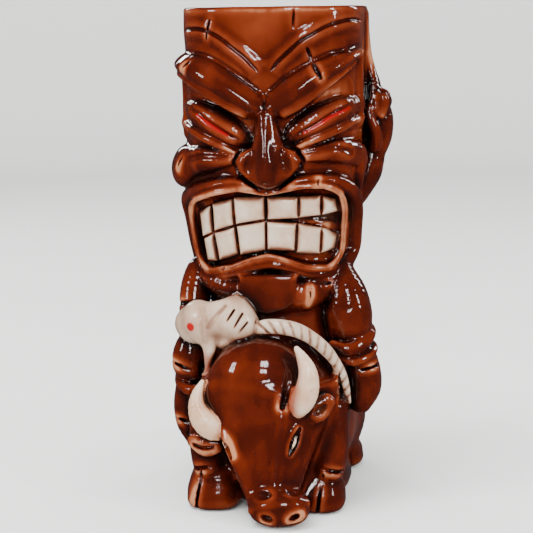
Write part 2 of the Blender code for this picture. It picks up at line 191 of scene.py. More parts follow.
def within(x, y, z, low, high, reach):
    """Which points lie in a box, grown by reach."""
    inside = (x > low[0] - reach) & (x < high[0] + reach) & (y > low[1] - reach) & (y < high[1] + reach)
    return np.nonzero(inside & (z > low[2] - reach) & (z < high[2] + reach))[0]


class Blob:
    """An ellipsoid, or a boxier superellipsoid, turned by angles in degrees."""

    def __init__(self, centre, radii, turn=(0, 0, 0), corner=2.0):
        self.centre, self.radii, self.corner = centre, radii, corner
        angles = [math.radians(a) for a in turn]
        axes = np.array(Matrix.Rotation(angles[2], 3, "Z") @ Matrix.Rotation(angles[1], 3, "Y")
                        @ Matrix.Rotation(angles[0], 3, "X"))
        self.axes = axes.T.tolist()
        extent = np.abs(axes) @ np.array(radii, float)
        self.low, self.high = np.array(centre) - extent, np.array(centre) + extent

    def __call__(self, x, y, z, reach):
        x, y, z = x - self.centre[0], y - self.centre[1], z - self.centre[2]
        return egg_distance([x * a + y * b + z * c for a, b, c in self.axes], self.radii, self.corner)


class Limb:
    """A bar along a smooth path. A station is x, y, z, half width, half thickness and, where the thickness
    doesn't lie along face, the direction that it does."""

    def __init__(self, stations, face=FRONT, corner=2.0, closed=False):
        points = np.array([tuple(s) if len(s) == 8 else (*s[:5], *face) for s in stations], float)
        count = len(points)
        dense = []
        for i in range(count if closed else count - 1):
            if closed:
                before, start, end, after = (points[(i + k) % count] for k in (-1, 0, 1, 2))
            else:
                before, start = points[max(i - 1, 0)], points[i]
                end, after = points[i + 1], points[min(i + 2, count - 1)]
            steps = int(np.clip(round(np.linalg.norm(end[:3] - start[:3]) / 1.6), 2, 4))
            for t in np.arange(steps) / steps:
                dense.append(0.5 * (2 * start + (end - before) * t
                                    + (2 * before - 5 * start + 4 * end - after) * t**2
                                    + (3 * start - before - 3 * end + after) * t**3))
        dense.append(dense[0] if closed else points[-1])
        path = np.array(dense)
        path[:, 3:5] = np.maximum(path[:, 3:5], 0.15)
        self.corner = corner
        self.spans = []
        for start, end in zip(path, path[1:]):
            length = max(float(np.linalg.norm(end[:3] - start[:3])), 1e-6)
            along = (end[:3] - start[:3]) / length
            facing = start[5:] + end[5:]
            thick = unit(facing - along * (facing @ along))
            wide = np.cross(thick, along)
            girth = max(start[3:5].max(), end[3:5].max())
            low, high = np.minimum(start[:3], end[:3]) - girth, np.maximum(start[:3], end[:3]) + girth
            vectors = (along, thick, wide, start, end)
            self.spans.append((low, high, length, *(vector.tolist() for vector in vectors)))
        self.low = np.min([span[0] for span in self.spans], axis=0)
        self.high = np.max([span[1] for span in self.spans], axis=0)

    def __call__(self, x, y, z, reach):
        best = np.full(len(x), FAR, np.float32)
        for low, high, length, along, thick, wide, start, end in self.spans:
            near = within(x, y, z, low, high, reach)
            if not len(near):
                continue
            a, b, c = x[near] - start[0], y[near] - start[1], z[near] - start[2]
            ahead = a * along[0] + b * along[1] + c * along[2]
            t = np.clip(ahead / length, 0, 1)
            half_wide = start[3] + t * (end[3] - start[3])
            half_thick = start[4] + t * (end[4] - start[4])
            parts = (a * wide[0] + b * wide[1] + c * wide[2], a * thick[0] + b * thick[1] + c * thick[2],
                     ahead - t * length)
            radii = (half_wide, half_thick, np.minimum(half_wide, half_thick))
            best[near] = np.minimum(best[near], egg_distance(parts, radii, self.corner))
        return best


def wall_limb(stations, corner=2.0, closed=False):
    """A bar that follows the wall's front, from stations of x, z, lift, half width and half thickness."""
    rows = []
    for x, z, lift, wide, thick in stations:
        point, normal = on_wall(x, z, lift)
        rows.append((*point, wide, thick, *normal))
    return Limb(rows, corner=corner, closed=closed)


def round_limb(stations, corner=2.0):
    """A bar that follows the wall all round, from stations of angle, z, lift, half width and half thickness.
    The angle is in degrees from the front, and grows towards positive x."""
    rows = []
    for angle, z, lift, half_wide, half_thick in stations:
        wide, deep, back, square = (float(v) for v in section_at(z))
        across, ahead = math.sin(math.radians(angle)), -math.cos(math.radians(angle))
        reach = (abs(across / wide) ** square + abs(ahead / deep) ** square) ** (-1 / square)
        slope = (math.copysign(abs(reach * across / wide) ** (square - 1) / wide, across),
                 math.copysign(abs(reach * ahead / deep) ** (square - 1) / deep, ahead))
        size = math.hypot(*slope)
        normal = (slope[0] / size, slope[1] / size, 0.0)
        point = (reach * across + lift * normal[0], back + reach * ahead + lift * normal[1], z)
        rows.append((*point, half_wide, half_thick, *normal))
    return Limb(rows, corner=corner)


class Plate:
    """An outline drawn from the front, as thick as two lifts from the wall are apart, with round edges."""

    def __init__(self, outline, bottom, top, edge, grow=0.0):
        self.outline = [(float(x), float(z)) for x, z in outline]
        self.bottom, self.top, self.edge, self.grow = bottom, top, edge, grow
        xs, zs = zip(*self.outline)
        middle = (sum(xs) / len(xs), sum(zs) / len(zs))
        depths = [on_wall(x, z, lift)[0][1] for x, z in (*self.outline, middle) for lift in (bottom, top)]
        self.low = np.array([min(xs), min(depths) - 1, min(zs)])
        self.high = np.array([max(xs), max(depths) + 1, max(zs)])

    def __call__(self, x, y, z, reach):
        nearest = np.full(len(x), 1e6, np.float32)
        inside = np.zeros(len(x), bool)
        for (ax, az), (bx, bz) in zip(self.outline, self.outline[1:] + self.outline[:1]):
            ex, ez = bx - ax, bz - az
            qx, qz = x - ax, z - az
            t = np.clip((qx * ex + qz * ez) / (ex * ex + ez * ez), 0, 1)
            nearest = np.minimum(nearest, (qx - t * ex) ** 2 + (qz - t * ez) ** 2)
            if abs(ez) > 1e-9:
                inside ^= ((az > z) != (bz > z)) & (qx < qz * (ex / ez))
        flat = np.where(inside, -1, 1) * np.sqrt(nearest) + self.edge
        half = (self.top - self.bottom) / 2
        stack = np.abs(wall_distance(x, y, z) - (self.top + self.bottom) / 2) - half + self.edge
        outer = np.hypot(np.maximum(flat, 0), np.maximum(stack, 0))
        return outer + np.minimum(np.maximum(flat, stack), 0) - self.edge - self.grow


class Facets:
    """A solid with flat faces, each of three corners or more, wound either way. blend rounds its edges."""

    def __init__(self, centre, faces, blend):
        self.blend = blend
        self.faces = []
        for face in faces:
            a, b, c = (np.array(v, float) for v in face[:3])
            normal = unit(np.cross(b - a, c - a))
            if (np.array(centre) - a) @ normal > 0:
                normal = -normal
            self.faces.append((normal.tolist(), float(a @ normal)))
        corners = np.array([corner for face in faces for corner in face], float)
        self.low, self.high = corners.min(axis=0), corners.max(axis=0)

    def __call__(self, x, y, z, reach):
        distance = np.full(len(x), -FAR, np.float32)
        for normal, offset in self.faces:
            ahead = x * normal[0] + y * normal[1] + z * normal[2] - offset
            distance = smooth_max(distance, ahead, self.blend)
        return distance


class Stack:
    """A body of level sections (z, x, y, half width, half depth), rounded at its top and bottom."""

    def __init__(self, sections, corner=2.2, edge=1.5):
        self.rows = np.array(sections, float)
        self.corner, self.edge = corner, edge
        extent = self.rows[:, 3:5]
        self.low = np.array([*(self.rows[:, 1:3] - extent).min(axis=0), self.rows[0, 0]])
        self.high = np.array([*(self.rows[:, 1:3] + extent).max(axis=0), self.rows[-1, 0]])

    def __call__(self, x, y, z, reach):
        heights, *columns = self.rows.T
        middle_x, middle_y, wide, deep = (np.interp(z, heights, column) for column in columns)
        side = egg_distance((x - middle_x, y - middle_y), (wide, deep), self.corner)
        return smooth_max(side, np.maximum(z - self.rows[-1, 0], self.rows[0, 0] - z), self.edge)


# ---------------------------------------------------------------- the list of what is sculpted

ADDED, CARVED = "added", "carved"
steps_of_clay = []
paints = []


def add(owner, shape, blend=0.7):
    """Joins a shape to the clay as part of that piece, with a fillet about blend wide."""
    steps_of_clay.append((ADDED, owner, shape, blend))


def carve(shape, blend=0.3):
    """Cuts a shape out of all the clay that is there so far."""
    steps_of_clay.append((CARVED, None, shape, blend))


def paint(channel, shape, softness=0.35):
    """Marks the surface inside a shape, for the materials to colour."""
    paints.append((channel, shape, softness))


# ---------------------------------------------------------------- from clay to pieces

FOREHEAD = "mug_shell_forehead"
BODY = "mug_shell_body"


FOREHEAD_LOW, FOREHEAD_BACK = 134.0, -8.0


def forehead_zone(y, z):
    """Negative in the smooth, finely carved part of the wall above the face."""
    return smooth_max(FOREHEAD_LOW - z, y - FOREHEAD_BACK, 2.0)


def hand_worked(x, y, z):
    """The faint unevenness of a form that was carved by hand and softened by glaze."""
    return 0.09 * np.sin(0.31 * x + 1.7 * np.sin(0.17 * z)) * np.sin(0.27 * z + 0.9 * np.sin(0.23 * y + 1.0))


def shares(owner, distance, zone):
    """The pieces that a distance counts for: the shell's is divided by its zone."""
    if owner == "mug_shell":
        return ((FOREHEAD, np.maximum(distance, zone)), (BODY, np.maximum(distance, -zone)))
    return ((owner, distance),)


TOP_FILLET, FOOT_FILLET, RIM_FILLET, CAVITY_FILLET, LIP_FILLET = 1.6, 1.2, 0.4, 5.0, 1.8


def clay(points, piece=None, reach=REACH):
    """Distance from the whole mug at those points and, where a piece is named, its claim on each point:
    its own distance less its nearest neighbour's. Shapes further off than reach are passed over."""
    x, y, z = np.ascontiguousarray(points.T, dtype=np.float32)
    wall = wall_distance(x, y, z)
    solid = smooth_max(wall, z - DESIGN_HEIGHT, TOP_FILLET)
    zone = forehead_zone(y, z)
    own = np.full(len(x), FAR, np.float32)
    others = np.full(len(x), FAR, np.float32)
    if piece:
        for name, distance in shares("mug_shell", wall, zone):
            if name == piece:
                own = distance
            else:
                others = np.minimum(others, distance)
    for kind, owner, shape, blend in steps_of_clay:
        room = max(reach, blend + 0.5)
        near = within(x, y, z, shape.low, shape.high, room)
        if not len(near):
            continue
        distance = shape(x[near], y[near], z[near], room)
        if kind == CARVED:
            solid[near] = smooth_max(solid[near], -distance, blend)
            continue
        solid[near] = smooth_min(solid[near], distance, blend)
        if piece:
            for name, share in shares(owner, distance, zone[near]):
                if name == piece:
                    own[near] = np.minimum(own[near], share)
                else:
                    others[near] = np.minimum(others[near], share)
    solid = solid + hand_worked(x, y, z)
    solid = smooth_max(solid, -z, FOOT_FILLET)
    solid = smooth_max(solid, z - DESIGN_HEIGHT, RIM_FILLET)
    cavity = smooth_max(wall + WALL, FLOOR - z, CAVITY_FILLET)
    return smooth_max(solid, -cavity, LIP_FILLET), own - others


def piece_distance(points, piece):
    """Distance from one piece. Past a joint it sinks a hair below its neighbour, which hides its edge."""
    solid, claim = clay(points, piece, FINE_REACH)
    sink = SINK * np.clip((claim + OVERLAP) / (2 * OVERLAP), 0, 1)
    return np.maximum(solid + sink, claim - OVERLAP)


MARGIN_CELLS = 2.3
# Half a block's diagonal as a share of its side, and how many times faster than that the fields may grow.
HALF_DIAGONAL, SOLID_SLACK, CLAIM_SLACK = 0.87, 1.3, 2.1
CORNERS = np.array([(x, y, z) for x in (0, 1) for y in (0, 1) for z in (0, 1)])


def sampled(piece, low, high, cell):
    """The piece's distance on a grid, worked out only near its surface, and which points were worked out."""
    low = np.asarray(low) - MARGIN_CELLS * cell
    counts = np.ceil((np.asarray(high) - low) / (8 * cell)).astype(int) + 1
    blocks = np.stack(np.meshgrid(*(np.arange(n) for n in counts), indexing="ij"), axis=-1).reshape(-1, 3)
    for size in (8, 4, 2):
        centres = low + (blocks + 0.5) * size * cell
        half_diagonal = HALF_DIAGONAL * size * cell
        thin, wide = SOLID_SLACK * half_diagonal, CLAIM_SLACK * half_diagonal
        solid, claim = clay(centres, piece, FINE_REACH + thin)
        claim = claim - OVERLAP
        keep = (solid < thin) & (claim < wide) & ((solid > -thin) | (claim > -wide))
        blocks = blocks[keep]
        if size > 2:
            blocks = (blocks[:, None, :] * 2 + CORNERS[None]).reshape(-1, 3)
    shape = counts * 8 + 1
    known = np.zeros(shape, bool)
    base = blocks * 2
    for offset in np.ndindex(3, 3, 3):
        spot = base + offset
        known[spot[:, 0], spot[:, 1], spot[:, 2]] = True
    spots = np.argwhere(known)
    grid = np.full(shape, FAR, np.float32)
    grid[known] = piece_distance(low + spots * cell, piece)
    return grid, known, low


def skinned(grid, known, low, cell):
    """Points and four-sided faces of the surface where the grid changes sign, one point to a cell."""
    cells = known[:-1, :-1, :-1].copy()
    for x, y, z in CORNERS[1:]:
        cells &= known[x:known.shape[0] - 1 + x, y:known.shape[1] - 1 + y, z:known.shape[2] - 1 + z]
    inside = grid < 0
    shape = cells.shape
    total = cells.size
    sums = np.zeros((total, 3))
    hits = np.zeros(total)
    faces = []
    flat = np.arange(total).reshape(shape)
    for axis in range(3):
        lower = [slice(None)] * 3
        upper = [slice(None)] * 3
        lower[axis], upper[axis] = slice(0, -1), slice(1, None)
        change = (inside[tuple(lower)] != inside[tuple(upper)]) & known[tuple(lower)] & known[tuple(upper)]
        spots = np.argwhere(change)
        if not len(spots):
            continue
        one, two = (axis + 1) % 3, (axis + 2) % 3
        room = np.ones(len(spots), bool)
        for other in (one, two):
            room &= (spots[:, other] > 0) & (spots[:, other] < shape[other])
        spots = spots[room]
        a = grid[tuple(spots.T)]
        ahead = spots.copy()
        ahead[:, axis] += 1
        b = grid[tuple(ahead.T)]
        crossing = spots.astype(float)
        crossing[:, axis] += a / (a - b)
        corners = []
        for back_one, back_two in ((1, 1), (0, 1), (0, 0), (1, 0)):
            cell_spot = spots.copy()
            cell_spot[:, one] -= back_one
            cell_spot[:, two] -= back_two
            index = flat[tuple(cell_spot.T)]
            corners.append(index)
            hits += np.bincount(index, minlength=total)
            for k in range(3):
                sums[:, k] += np.bincount(index, crossing[:, k], minlength=total)
        quads = np.stack(corners, axis=1)
        flip = a > 0
        quads[flip] = quads[flip][:, ::-1]
        good = cells.reshape(-1)[quads].all(axis=1)
        faces.append(quads[good])
    faces = np.concatenate(faces)
    used, faces = np.unique(faces, return_inverse=True)
    points = low + sums[used] / hits[used][:, None] * cell
    return points, faces.reshape(-1, 4)


TETRAHEDRON = np.array([(1, -1, -1), (-1, -1, 1), (-1, 1, -1), (1, 1, 1)], float)


def value_and_slope(piece, points, step=0.08):
    """A piece's distance at those points, and its gradient there."""
    value = np.zeros(len(points))
    slope = np.zeros((len(points), 3))
    for corner in TETRAHEDRON:
        sample = piece_distance(points + corner * step, piece)
        value += sample / 4
        slope += sample[:, None] * corner / (4 * step)
    return value, slope


SPECK_SHARE, SPECK_FACES = 0.04, 24


def kept_islands(count, faces):
    """Which faces belong to bodies of a fair size. Specks that the joints leave are dropped."""
    label = np.arange(count)
    while True:
        low = label[faces].min(axis=1)
        new = label.copy()
        np.minimum.at(new, faces, low[:, None])
        new = new[new]
        if (new == label).all():
            break
        label = new
    group = label[faces[:, 0]]
    sizes = np.bincount(group, minlength=count)
    return sizes[group] >= max(sizes.max() * SPECK_SHARE, SPECK_FACES)


def sculpted(piece, low, high, cell):
    """Points, their normals, four-sided faces and the marks that the glazes read, for one closed piece."""
    grid, known, corner = sampled(piece, low, high, cell)
    points, faces = skinned(grid, known, corner, cell)
    faces = faces[kept_islands(len(points), faces)]
    used, faces = np.unique(faces, return_inverse=True)
    points, faces = points[used], faces.reshape(-1, 4)
    value, slope = value_and_slope(piece, points)
    length = np.maximum((slope**2).sum(axis=1), 0.2)
    points = points - np.clip(value / length, -0.5 * cell, 0.5 * cell)[:, None] * slope
    normals = slope / np.maximum(np.linalg.norm(slope, axis=1), 1e-6)[:, None]
    marks = surface_marks(points, normals)
    marks["edge"] = evened(marks["edge"], faces)
    return points, normals, faces, marks


def evened(values, faces, rounds=6):
    """Values at the points, each drawn towards its neighbours' mean several times over."""
    one, two = faces.ravel(), np.roll(faces, -1, axis=1).ravel()
    count = len(values)
    neighbours = np.bincount(one, minlength=count) + np.bincount(two, minlength=count)
    for _ in range(rounds):
        total = np.bincount(one, values[two], minlength=count)
        total += np.bincount(two, values[one], minlength=count)
        values = 0.4 * values + 0.6 * total / neighbours
    return values


# How far out, and how far in, the marks feel for clay. The first two set the painted shade in creases and
# hollows. The last is under half the vessel's wall.
POOL_REACH, HOLLOW_REACH, EDGE_DEPTH = 0.9, 4.0, 2.2


def surface_marks(points, normals):
    """For each point, how far glaze would pool there or run off it, how much painted shade its crease or
    hollow gets, and the painted marks.
    """
    # pool is both where glaze pools in a crease and painted shade there; the hollow mark is painted shade in
    # broad hollows; edge is glaze run thin on ridges.
    marks = {
        "pool": 1 - clay(points + POOL_REACH * normals, reach=2.0)[0] / POOL_REACH,
        "hollow_shade": 1 - clay(points + HOLLOW_REACH * normals, reach=4.5)[0] / HOLLOW_REACH,
        "edge": 1 + clay(points - EDGE_DEPTH * normals, reach=2.8)[0] / EDGE_DEPTH,
    }
    marks = {label: np.clip(values, 0, 1.5) for label, values in marks.items()}
    # The red and stain channels are the glaze's own painted colours; the last channel is painted shade laid
    # in cracks, clefts and holes.
    for channel in ("red", "stain", "painted_shade"):
        marks[channel] = np.zeros(len(points))
    x, y, z = points.T.astype(np.float32)
    for channel, shape, softness in paints:
        near = within(x, y, z, shape.low, shape.high, 2.0)
        amount = np.clip(0.5 - shape(x[near], y[near], z[near], 2.0) / (2 * softness), 0, 1)
        marks[channel][near] = np.maximum(marks[channel][near], amount)
    return marks


def make_piece(name, points, normals, faces, marks):
    """The mesh object of a piece."""
    mesh = bpy.data.meshes.new(name)
    mesh.vertices.add(len(points))
    mesh.vertices.foreach_set("co", (points * MM).astype(np.float32).ravel())
    mesh.loops.add(faces.size)
    mesh.loops.foreach_set("vertex_index", faces.astype(np.int32).ravel())
    mesh.polygons.add(len(faces))
    mesh.polygons.foreach_set("loop_start", np.arange(len(faces), dtype=np.int32) * 4)
    mesh.update(calc_edges=True)
    mesh.validate()
    mesh.shade_smooth()
    mesh.normals_split_custom_set_from_vertices(normals.tolist())
    for label, values in marks.items():
        mesh.attributes.new(label, "FLOAT", "POINT").data.foreach_set("value", values.astype(np.float32))
    thing = bpy.data.objects.new(name, mesh)
    bpy.context.scene.collection.objects.link(thing)
    return thing


def bar(owner, blend, stations, **how):
    """Joins a bar to the clay as part of that piece."""
    add(owner, Limb(stations, **how), blend)


def cut(blend, stations, **how):
    """Cuts a bar out of all the clay that is there so far."""
    carve(Limb(stations, **how), blend)


def wall_bar(owner, blend, stations, **how):
    """Joins a bar that follows the wall's front to the clay as part of that piece."""
    add(owner, wall_limb(stations, **how), blend)


def wall_cut(blend, stations, **how):
    """Cuts a bar that follows the wall's front out of the clay."""
    carve(wall_limb(stations, **how), blend)


# ---------------------------------------------------------------- the head

LEFT, RIGHT = -1, 1
SIDES = ((LEFT, "left"), (RIGHT, "right"))
OUTWARD, BACK = (1, 0, 0), (0, 1, 0)
SHELL = "mug_shell"


def groove(path, wide=0.5, deep=0.7, lips=0.35):
    """A line carved on the wall, from points of x and z. Clay is raised by lips on both sides of it."""
    fade = [0.45] + [1] * (len(path) - 2) + [0.45]
    wall_bar(SHELL, 1.8, [(x, z, -0.5, 2.4, (0.5 + lips) * f) for (x, z), f in zip(path, fade)])
    wall_cut(0.8, [(x, z, 0.25 + lips * 0.6, wide * f, deep * f) for (x, z), f in zip(path, fade)])


def nick(start, end, lift, wide=0.55, deep=1.2):
    """A short cut, like a crack in the wood, across a member that stands lift above the wall."""
    middle = [(a + b) / 2 for a, b in zip(start, end)]
    wall_cut(0.3, [(*start, lift, wide * 0.6, deep * 0.6), (*middle, lift, wide, deep),
        (*end, lift, wide * 0.4, deep * 0.5)])


def forehead():
    """The smooth forehead with its two carved lines, which dip to the middle over the brows."""
    groove([(-30.5, 170.2), (-27.6, 170.4), (-23.7, 170.4), (-19.6, 169.3), (-15.3, 166.9), (-11.5, 164),
        (-7.4, 160.9), (-4.7, 158.2), (-2.6, 156)])
    groove([(32, 172.7), (29.5, 173), (25.4, 172.1), (21.1, 170.6), (16.7, 168.2), (12.7, 165.9),
        (8.1, 161.9), (4.9, 159), (2.6, 156.2)])
    nick((-19.5, 173.5), (-20.8, 166.7), 0.4, wide=0.4)
    nick((10.6, 177), (10.2, 170.6), 0.2, wide=0.4, deep=0.8)


def eye_sockets():
    """The hollows under the brows, which the eyes bulge out of."""
    wall_cut(1.6, [(-28, 145.5, 1.6, 4, 2.4), (-24, 144, 1.2, 6.5, 3), (-16, 139.5, 1, 7.5, 3.2),
        (-9, 134, 1, 6, 3), (-6.5, 129, 1, 3, 2.4)])
    wall_cut(1.6, [(29.5, 149, 1.6, 4.5, 2.4), (26, 146, 1.2, 7.5, 3), (19, 140.5, 1, 7.6, 3.2),
        (11, 135.5, 1, 6.5, 3), (8, 131, 1, 3, 2.4)])


BROW_RIGHT = ((32.6, 162, 1), (28.6, 160, 2.6), (24, 157.4, 4.3), (18.7, 154.1, 5.1), (13.5, 150.6, 5.7),
    (8.6, 147.1, 5.8), (4.8, 144.6, 5.2), (2.4, 143, 3.9))
BROW_LEFT = ((-32.6, 158.6, 2.8), (-29.2, 157.6, 4.6), (-25, 156.2, 5.8), (-20, 153.6, 6.3),
    (-14.5, 150.4, 6.1), (-9.8, 147.4, 5.8), (-5.4, 144.7, 5.2), (-2.6, 143.2, 3.8))


def brows():
    """Heavy brows that meet over the nose, each a rounded bar with a ridge and a rolled lower edge."""
    for (side, word), pattern in zip(SIDES, (BROW_LEFT, BROW_RIGHT)):
        owner, middle = f"brow_{word}", pattern[1:-1]
        wall_bar(owner, 1.2, [(x, z, -0.8, half, min(half, 4.2)) for x, z, half in pattern], corner=2.2)
        ridge = [(x, z - half * 0.05, 1, half * 0.55, min(half, 4.2)) for x, z, half in pattern]
        wall_bar(owner, 2.2, ridge)
        roll = [(x + side * half * 0.36, z - half * 0.66, 1, half * 0.32, min(half, 3.4) * 0.84)
            for x, z, half in middle]
        wall_bar(owner, 1.3, roll)
        wall_cut(1, [(x - side * half * 0.5, z + half * 0.9, 1.2, 0.35, 1) for x, z, half in middle])
    wall_cut(0.9, [(0.2, 153.5, 3.6, 0.5, 1.8), (0.1, 147.5, 4.4, 0.6, 2.8), (0.2, 141.5, 4.2, 0.6, 2.2)])
    wall_cut(0.5, [(15, 163.4, 0.3, 0.35, 1.2), (16.2, 160.8, 1.2, 0.8, 2.2), (17.4, 158.2, 2.8, 1, 2.4),
        (18.7, 155.8, 4, 0.9, 2.4), (19.9, 153.2, 4.6, 0.35, 1.6)])
    # Painted shade down the crack in the right brow.
    paint("painted_shade", wall_limb([(16.2, 160.6, 1, 0.3, 1.6), (17.5, 158, 2.4, 0.7, 2.4),
        (18.8, 155.2, 3.6, 0.3, 2)]), softness=0.4)
    nick((-26.4, 160.8), (-29, 156.4), 3.6, wide=0.4, deep=1)


def eyes():
    """Closed eyes: an almond with a crease along it that is painted red, over a soft fold of cheek."""
    eye_right = ((7.2, 131.4, 1.6), (10.5, 134.2, 3.6), (15.5, 137, 4.9), (20.5, 139.4, 5.4),
        (25.5, 141.8, 5), (29.6, 143.4, 3.2))
    eye_left = ((-6.4, 131.4, 2.2), (-10.5, 133.6, 4.4), (-15, 135.9, 5.4), (-20, 138.5, 5.5),
        (-24.8, 141, 4.7), (-28.8, 143, 2.6))
    crease_right = ((9.5, 132.6), (13.8, 135), (18.7, 137.6), (23.1, 140.4), (29, 143.2), (30.8, 144))
    crease_left = ((-9.5, 132.2), (-13, 134.2), (-16.7, 136), (-21.2, 138.7), (-24.8, 141.3), (-29, 143.4))
    fade, paint_fade = (0.4, 0.8, 1, 1, 0.8, 0.4), (0.35, 0.7, 0.7, 0.35)
    fold = ((10.5, 128.6, 1), (15.5, 131.2, 1.6), (21, 133.6, 1.9), (27, 136.4, 1.8), (31.5, 138.6, 1.2))
    eyes_of_both = ((eye_left, crease_left, -1.6), (eye_right, crease_right, 0))
    for (side, word), (pattern, crease, lower) in zip(SIDES, eyes_of_both):
        lid = [(x, z, -1.6, half, 4.4 * min(1, half / 4.4)) for x, z, half in pattern]
        wall_bar(f"eye_{word}", 0.8, lid, corner=2.1)
        wall_cut(1.2, [(x, z, 2.7, 0.45 * f, f) for (x, z), f in zip(crease, fade)])
        stroke = [(x, z - 0.7, 2.2, 0.6 * f, 3) for f, (x, z) in zip(paint_fade, crease[1:5])]
        paint("red", wall_limb(stroke), softness=0.5)
        wall_bar(f"cheek_{word}", 1, [(side * x, z + lower, 0.2, half, half * 1.25) for x, z, half in fold])


def temples():
    """The raised edge of the head that runs down beside each eye, from the brow to the cheek."""
    strips = (
        ((-31.4, 153.5, 1.2), (-31.6, 149, 1.5), (-31.6, 144, 1.5), (-31.8, 138.5, 1.6), (-32, 133, 1.5)),
        ((31.9, 159.5, 1), (32.2, 154.5, 1.4), (32.3, 149.5, 1.5), (32.1, 143.5, 1.5), (31.6, 137, 1.4)),
    )
    for (_, word), strip in zip(SIDES, strips):
        wall_bar(f"temple_{word}", 2.2, [(x, z, -0.4, half + 0.3, 1.9) for x, z, half in strip])


NOSE_OUTLINE = ((-2, 142), (-3.2, 134), (-4.6, 129.2), (-8.6, 127.6), (-10.6, 124.4), (-9.2, 120.8),
    (-6, 117.4), (-2.2, 115.2), (1, 114.4), (4.6, 115.4), (8.6, 118.2), (11.6, 121.8), (12.8, 125.2),
    (10.6, 128.2), (7, 129.4), (5.2, 134), (3.4, 142))


def nose():
    """A straight ridge over two flared wings, which draw in to a blunt point, with a moat cut round it."""
    carve(Plate(NOSE_OUTLINE[2:-2], -0.6, 9, 1.6, grow=0.9), blend=1)
    add("nose", Plate(NOSE_OUTLINE, -2, 4.9, 3), blend=0.8)
    bar("nose", 3, [(0.3, -29.5, 143, 1.8, 3.4), (0.4, -30.6, 139.5, 2.5, 5.2), (0.7, -31.4, 134, 3.2, 6.6),
        (0.9, -32.2, 128.5, 3.9, 7.6), (1.1, -33, 123.5, 4.8, 7.8), (1.1, -33, 119.6, 4.6, 6.8)],
        corner=1.8)
    middle = 1.1
    for side in (LEFT, RIGHT):
        wall_cut(2.2, [(middle + side * 5.8, 127.4, 6, 0.7, 1.6), (middle + side * 6.6, 124.6, 6, 0.9, 1.6),
            (middle + side * 7.4, 121.6, 5.6, 0.5, 1)])


def cheeks():
    """Wedges that fan out from the nose to the sides of the head, with a fold along each."""
    patterns = (
        ((-9.5, 125.4, 1.2, 2.6), (-13, 125.2, 2.5, 3.2), (-18, 124.8, 4, 3.8), (-24, 124.2, 5.4, 4.2),
            (-29.5, 122.6, 6, 4.6), (-33, 120.8, 5.4, 5)),
        ((10.5, 126.2, 1.4, 2.6), (14, 126.5, 2.6, 3.2), (19, 127, 3.4, 3.6), (25, 127.4, 4.6, 3.8),
            (30, 125, 5, 3.8), (32.3, 119.5, 4, 3.4), (32.3, 114.5, 2.6, 2.8)),
    )
    for (_, word), pattern in zip(SIDES, patterns):
        wall_bar(f"cheek_{word}", 1, [(x, z, -0.6, half, thick) for x, z, half, thick in pattern],
            corner=2.1)
        crease = [(x, z + half * 0.34, thick - 0.7, 0.4, 0.8) for x, z, half, thick in pattern[1:5]]
        wall_cut(1.6, crease)
    add("cheek_left", Blob((-31.4, -15.5, 121), (5.2, 8, 7.4), turn=(0, 10, 20)), blend=4)
    nick((-26.6, 127.4), (-27.4, 122.2), 3.8, wide=0.4, deep=1)
    nick((-32, 125), (-32.6, 121), 4.2, wide=0.4, deep=1)


LIPS = ((0.3, 114.8, 2.6), (8.5, 116, 3), (16.5, 116.8, 3.2), (23, 116.2, 3.3), (27.6, 112.8, 3.2),
    (28.6, 106, 3), (27.9, 98, 2.9), (26.9, 90.5, 3), (23.4, 85.2, 3.4), (16.5, 85, 3.9), (8, 87.6, 3.6),
    (0.5, 88.9, 3.3), (-8, 87.1, 3.7), (-16, 84.6, 3.9), (-24.4, 83.4, 3.4), (-28.9, 88.3, 3.3),
    (-30.4, 96, 3.4), (-31, 103.5, 3.6), (-29.4, 109.8, 3.6), (-21.5, 113.8, 3.6), (-12, 115.9, 3.1),
    (-6, 115.4, 2.8))
MOUTH_MIDDLE = (-0.5, 101)


def toward_mouth(x, z, share):
    """A point that far along the way from a point of the lips to the middle of the mouth, in millimetres."""
    across, up = MOUTH_MIDDLE[0] - x, MOUTH_MIDDLE[1] - z
    size = math.hypot(across, up)
    return x + across / size * share, z + up / size * share


def mouth():
    """Thick lips round a sunk pocket, with a raised bead along their inner edge."""
    wall_bar("mouth_frame", 1.2, [(x, z, 0, half, 4.2) for x, z, half in LIPS], corner=2.2, closed=True)
    bead = [(*toward_mouth(x, z, half * 0.62), 2.6, 1.2, 1.6) for x, z, half in LIPS]
    wall_bar("mouth_frame", 0.9, bead, closed=True)
    seam = [(*toward_mouth(x, z, half * 0.1), 4.5, 0.5, 0.6) for x, z, half in LIPS]
    wall_cut(1.6, seam, closed=True)
    inner = [toward_mouth(x, z, half * 1.02) for x, z, half in LIPS]
    carve(Plate(inner, -1.8, 8, 2.4), blend=1.6)
    wall_cut(0.6, [(8, 103.6, 0.6, 0.5, 2), (15, 103.8, 0.4, 1.1, 2.4), (23, 103.6, 0, 1.9, 2.6)])
    # Painted shade in the gap cut between the right-hand rows of teeth.
    paint("painted_shade", wall_limb([(9, 103.6, -1, 0.3, 2.6), (16, 103.8, -1.4, 0.9, 3), (26, 103.2, -1, 2.6, 4)]),
        softness=0.4)
    nick((18.9, 118.2), (18.6, 115.8), 4.2, wide=0.35)
    nick((-15.7, 87.6), (-16.8, 84.4), 4.4, wide=0.4)
    nick((15.5, 89.4), (15.2, 86.6), 4.4, wide=0.4)
    nick((20.1, 89.5), (20.8, 86.2), 4.4, wide=0.4)


